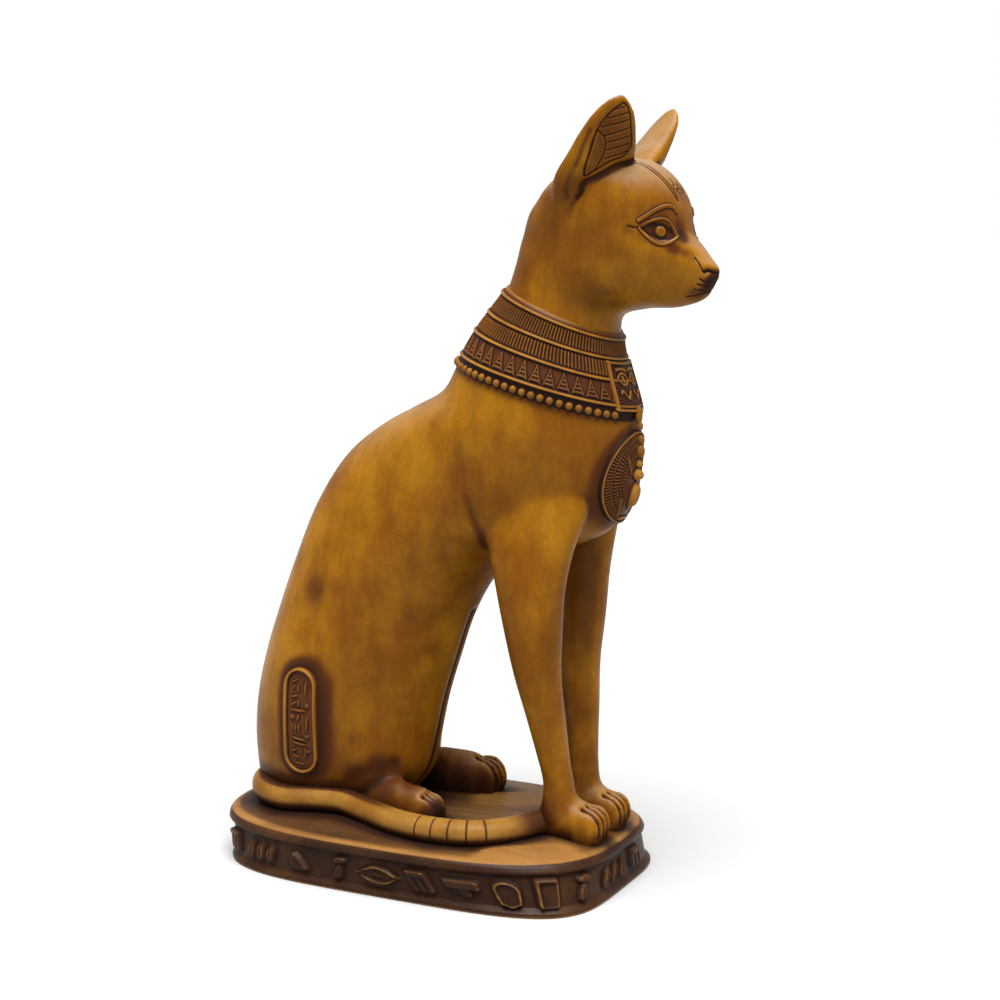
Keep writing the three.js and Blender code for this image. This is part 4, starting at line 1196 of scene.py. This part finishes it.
def chest_point(y, z, rise):
    """Point of the chest at width y and height z, standing out by rise."""
    y, z, rise = np.broadcast_arrays(y, z, rise)

    def angle_at(share):
        """The angle at which the trunk is y wide."""
        row = track(trunk_stations, trunk_ends, share)
        return np.arcsin(np.clip(power(y / row[..., 4], 4 / row[..., 5]), -1, 1))

    def above(share):
        """How far the skin at that angle lies over z."""
        return trunk_skin(share, angle_at(share))[..., 2] - z

    share = on_skin(above, y.shape, trunk_shares[8], trunk_shares[16])
    return trunk_skin(share, angle_at(share), rise)


def pendant():
    """Rings from the rim's root to the middle; the rings of ribs are cosines of the angle, and the scarab
    is made of mounds."""
    share = np.concatenate([[1.03, 1.02, 1.0], np.linspace(0.99, 0.02, 78)])[:, None]
    turn = turns(pendant_columns)[None, :]
    rim = ridge(share - 0.960, 0.008, 0.014)
    height = 1.2 * rim
    for place, half, edge, rise, count in pendant_rings:
        height = height + rise * ridge(share - place, half, edge) * (0.5 + 0.5 * np.cos(turn * count))
    outline = smooth((1.03 - share) / 0.03)
    reach = pendant_radius * np.minimum(share, 1)
    y, z = pendant_narrow * reach * np.cos(turn), reach * np.sin(turn)
    case = mound(y / 7.5, (z + 13) / 12, 2.2, 0.5) * (1 - 0.25 * bell(y, 0.8))
    chest = mound(y / 8.0, (z - 3) / 6.0, 2.0, 0.7)
    face = mound(y / 5, (z - 11) / 4.5, 2.0, 0.8)
    low_bar = mound(y / 13, (z + 30.5) / 1.6, 4, 0.5)
    legs = ridge(np.abs(y) - 12.0 - 0.25 * (z + 25), 0.5, 0.9) * (np.abs(z + 22) < 7)
    legs = np.maximum(legs, ridge(np.abs(y) - 10.0 - 0.4 * (z - 6), 0.6, 0.9) * (np.abs(z - 10) < 7))
    field = smooth((0.36 - share) / 0.03) + (np.abs(y) < 9) * (z < -10) * (share < 0.93)
    figure = np.max([4.5 * case, 5.2 * chest, 4.4 * face, 1.5 * low_bar, 1.2 * legs], axis=0)
    height = np.where(figure > 0.3, np.maximum(figure, 0.3), height * (1 - np.clip(field, 0, 1)))
    rise = -4 + (4 + pendant_proud * 0.6 + height) * outline
    points = chest_point(y, plinth_height + pendant_height + z, rise)
    rubbed = 0.6 * rim + 0.5 * np.clip(height - 0.4, 0, 1) + 0.9 * smooth((figure - 0.8) / 2)
    dark = (0.15 + 1.5 * smooth((share - 0.974) / 0.012)) * np.ones(height.shape)
    faces = grid_faces(len(share), pendant_columns)
    return skin_mesh("pendant", points, faces), rubbed.ravel(), dark.ravel()


def pendant_beads():
    """Round and long balls on the breast, each a circle whose radius follows a sine to the power 0.7."""
    fall, turn = np.linspace(0.05, np.pi - 0.05, 12)[:, None], turns(20)[None, :]
    shells = []
    for up, radius, reach in pendant_balls:
        middle = chest_point(np.array(0.0), np.array(plinth_height + pendant_height + up), np.array(4.4))
        across = radius * np.sin(fall) ** 0.7
        x, y, z = across * np.cos(turn), across * np.sin(turn), -reach * np.cos(fall) + 0 * turn
        shells.append(middle + np.stack([x, y, z], -1))
    return shells_mesh("pendant_beads", shells)


pendant_mesh, pendant_rub, pendant_dark = pendant()
finished("pendant", pendant_mesh, collar_paint, brown_and_shade=pendant_dark, gain=1.4, rub=0.3, rubbed=pendant_rub)
finished("pendant_beads", pendant_beads(), collar_paint, gain=0, rub=0, rubbed=0.6)

# Cartouche
# A long round-ended frame on the right haunch, cast with it, round a sunk field with rows of shallow
# strokes. Its rim and the strokes are rubbed ochre, and brown fills the field.
cartouche_proud, cartouche_rim = 3.2, 3.4
cartouche_rows, cartouche_columns, cartouche_behind = 170, 76, 8  # of its mesh
cartouche_strokes = [  # across, up, half width, half height, lean: the strokes stand for signs, in rows
    (-5, 33, 4, 0.8, 0.5), (-6, 27.5, 0.9, 3, 0.4), (-1.5, 27, 0.9, 3.5, -0.3), (5.5, 27, 1.1, 8, 0),
    (-5, 20.5, 4.2, 0.8, 0.25), (7, 13.5, 2.2, 2.6, 0), (-5.5, 14.5, 3.6, 0.8, 0.6), (-1, 14.5, 0.9, 2.6, 0),
    (-1, 9, 9.5, 0.7, 0), (-7, 3, 2.8, 2.4, 0), (-1.5, 3, 0.8, 3, 0.2), (6.5, -2, 1.1, 8.5, 0.05),
    (-7, -6, 0.8, 4, 0), (-4, -6, 0.8, 4, 0), (-1, -6, 0.8, 4, 0), (6.5, -12.5, 2.2, 2, 0),
    (-1, -15, 9.5, 0.8, -0.12), (-1, -19, 9, 0.7, -0.12), (-6, -25, 3.5, 0.7, 0.4), (4.5, -27, 0.9, 5.5, 0),
    (-4.5, -30, 4.5, 0.8, -0.25), (7.5, -25, 2.0, 1.6, 0), (-1, -36, 6, 0.7, -0.1),
]


def flank_point(x, z, rise):
    """Point of the trunk's right side at length x and height z, standing out by rise."""
    x, z, rise = np.broadcast_arrays(x, z, rise)

    def chord_at(share):
        """How far the place lies over the chord, where along it, and the power that holds there."""
        bx, bz, fx, fz, _, front, rear = np.moveaxis(track(trunk_stations, trunk_ends, share), -1, 0)
        along = np.stack([fx - bx, fz - bz], -1)
        reach = np.stack([x - (bx + fx) / 2, z - plinth_height - (bz + fz) / 2], -1)
        length = np.linalg.norm(along, axis=-1)
        above = along[..., 0] * reach[..., 1] - along[..., 1] * reach[..., 0]
        forward = (along * reach).sum(-1) / length
        return above, forward / (length / 2), np.where(forward > 0, front, rear)

    def below(share):
        """How far the place lies under the chord."""
        return -chord_at(share)[0]

    share = on_skin(below, x.shape, 0, trunk_shares[10])
    _, forward, exponent = chord_at(share)
    return trunk_skin(share, -np.arccos(np.clip(power(forward, 4 / exponent), -1, 1)), rise)


def cartouche():
    """Rows from bottom to top, each across the frame's width at its height and back behind it."""
    half_width, half_height = cartouche_size[0] / 2, cartouche_size[1] / 2
    step = np.linspace(-np.pi / 2 + 0.06, np.pi / 2 - 0.06, cartouche_rows)[:, None]
    up = half_height * np.sin(step)
    wide = np.sqrt(half_width ** 2 - np.maximum(np.abs(up) - half_height + half_width, 0) ** 2)
    across = wide * np.sin(np.linspace(-np.pi / 2, np.pi / 2, cartouche_columns))[None, :]
    inset = within_cartouche(across, up)
    rim = ridge(inset - cartouche_rim / 2, 0.7, 1.1)
    field = np.zeros(across.shape)
    for x, z, stroke_width, stroke_height, lean in cartouche_strokes:
        a, b = across - x, up - z
        if stroke_width < stroke_height:
            a = a - lean * b
        else:
            b = b - lean * a
        field = np.maximum(field, mound(a / (stroke_width + 0.6), b / (stroke_height + 0.6), 3, 0.7))
    field = field * smooth((inset - cartouche_rim) / 0.8)
    height = 0.9 + (cartouche_proud - 0.6) * rim + 1.3 * field - 2.5 * smooth((0.25 - inset) / 0.25)
    middle_x, middle_z = cartouche_middle[0], cartouche_middle[1] + plinth_height
    front = flank_point(middle_x + across + cartouche_lean * up, middle_z + up, height)
    behind = wide * np.linspace(1, -1, cartouche_behind)[None, :] + cartouche_lean * up
    behind = flank_point(middle_x + behind, middle_z + up, -3)
    rubbed = np.concatenate([0.8 * rim + 0.22 * field, np.zeros((cartouche_rows, cartouche_behind))], 1)
    faces = grid_faces(cartouche_rows, cartouche_columns + cartouche_behind)
    return skin_mesh("cartouche", np.concatenate([front, behind], 1), faces), rubbed.ravel()


cartouche_mesh, cartouche_rub = cartouche()
finished("cartouche", cartouche_mesh, collar_paint, gain=1.4, rub=0.3, rubbed=cartouche_rub)
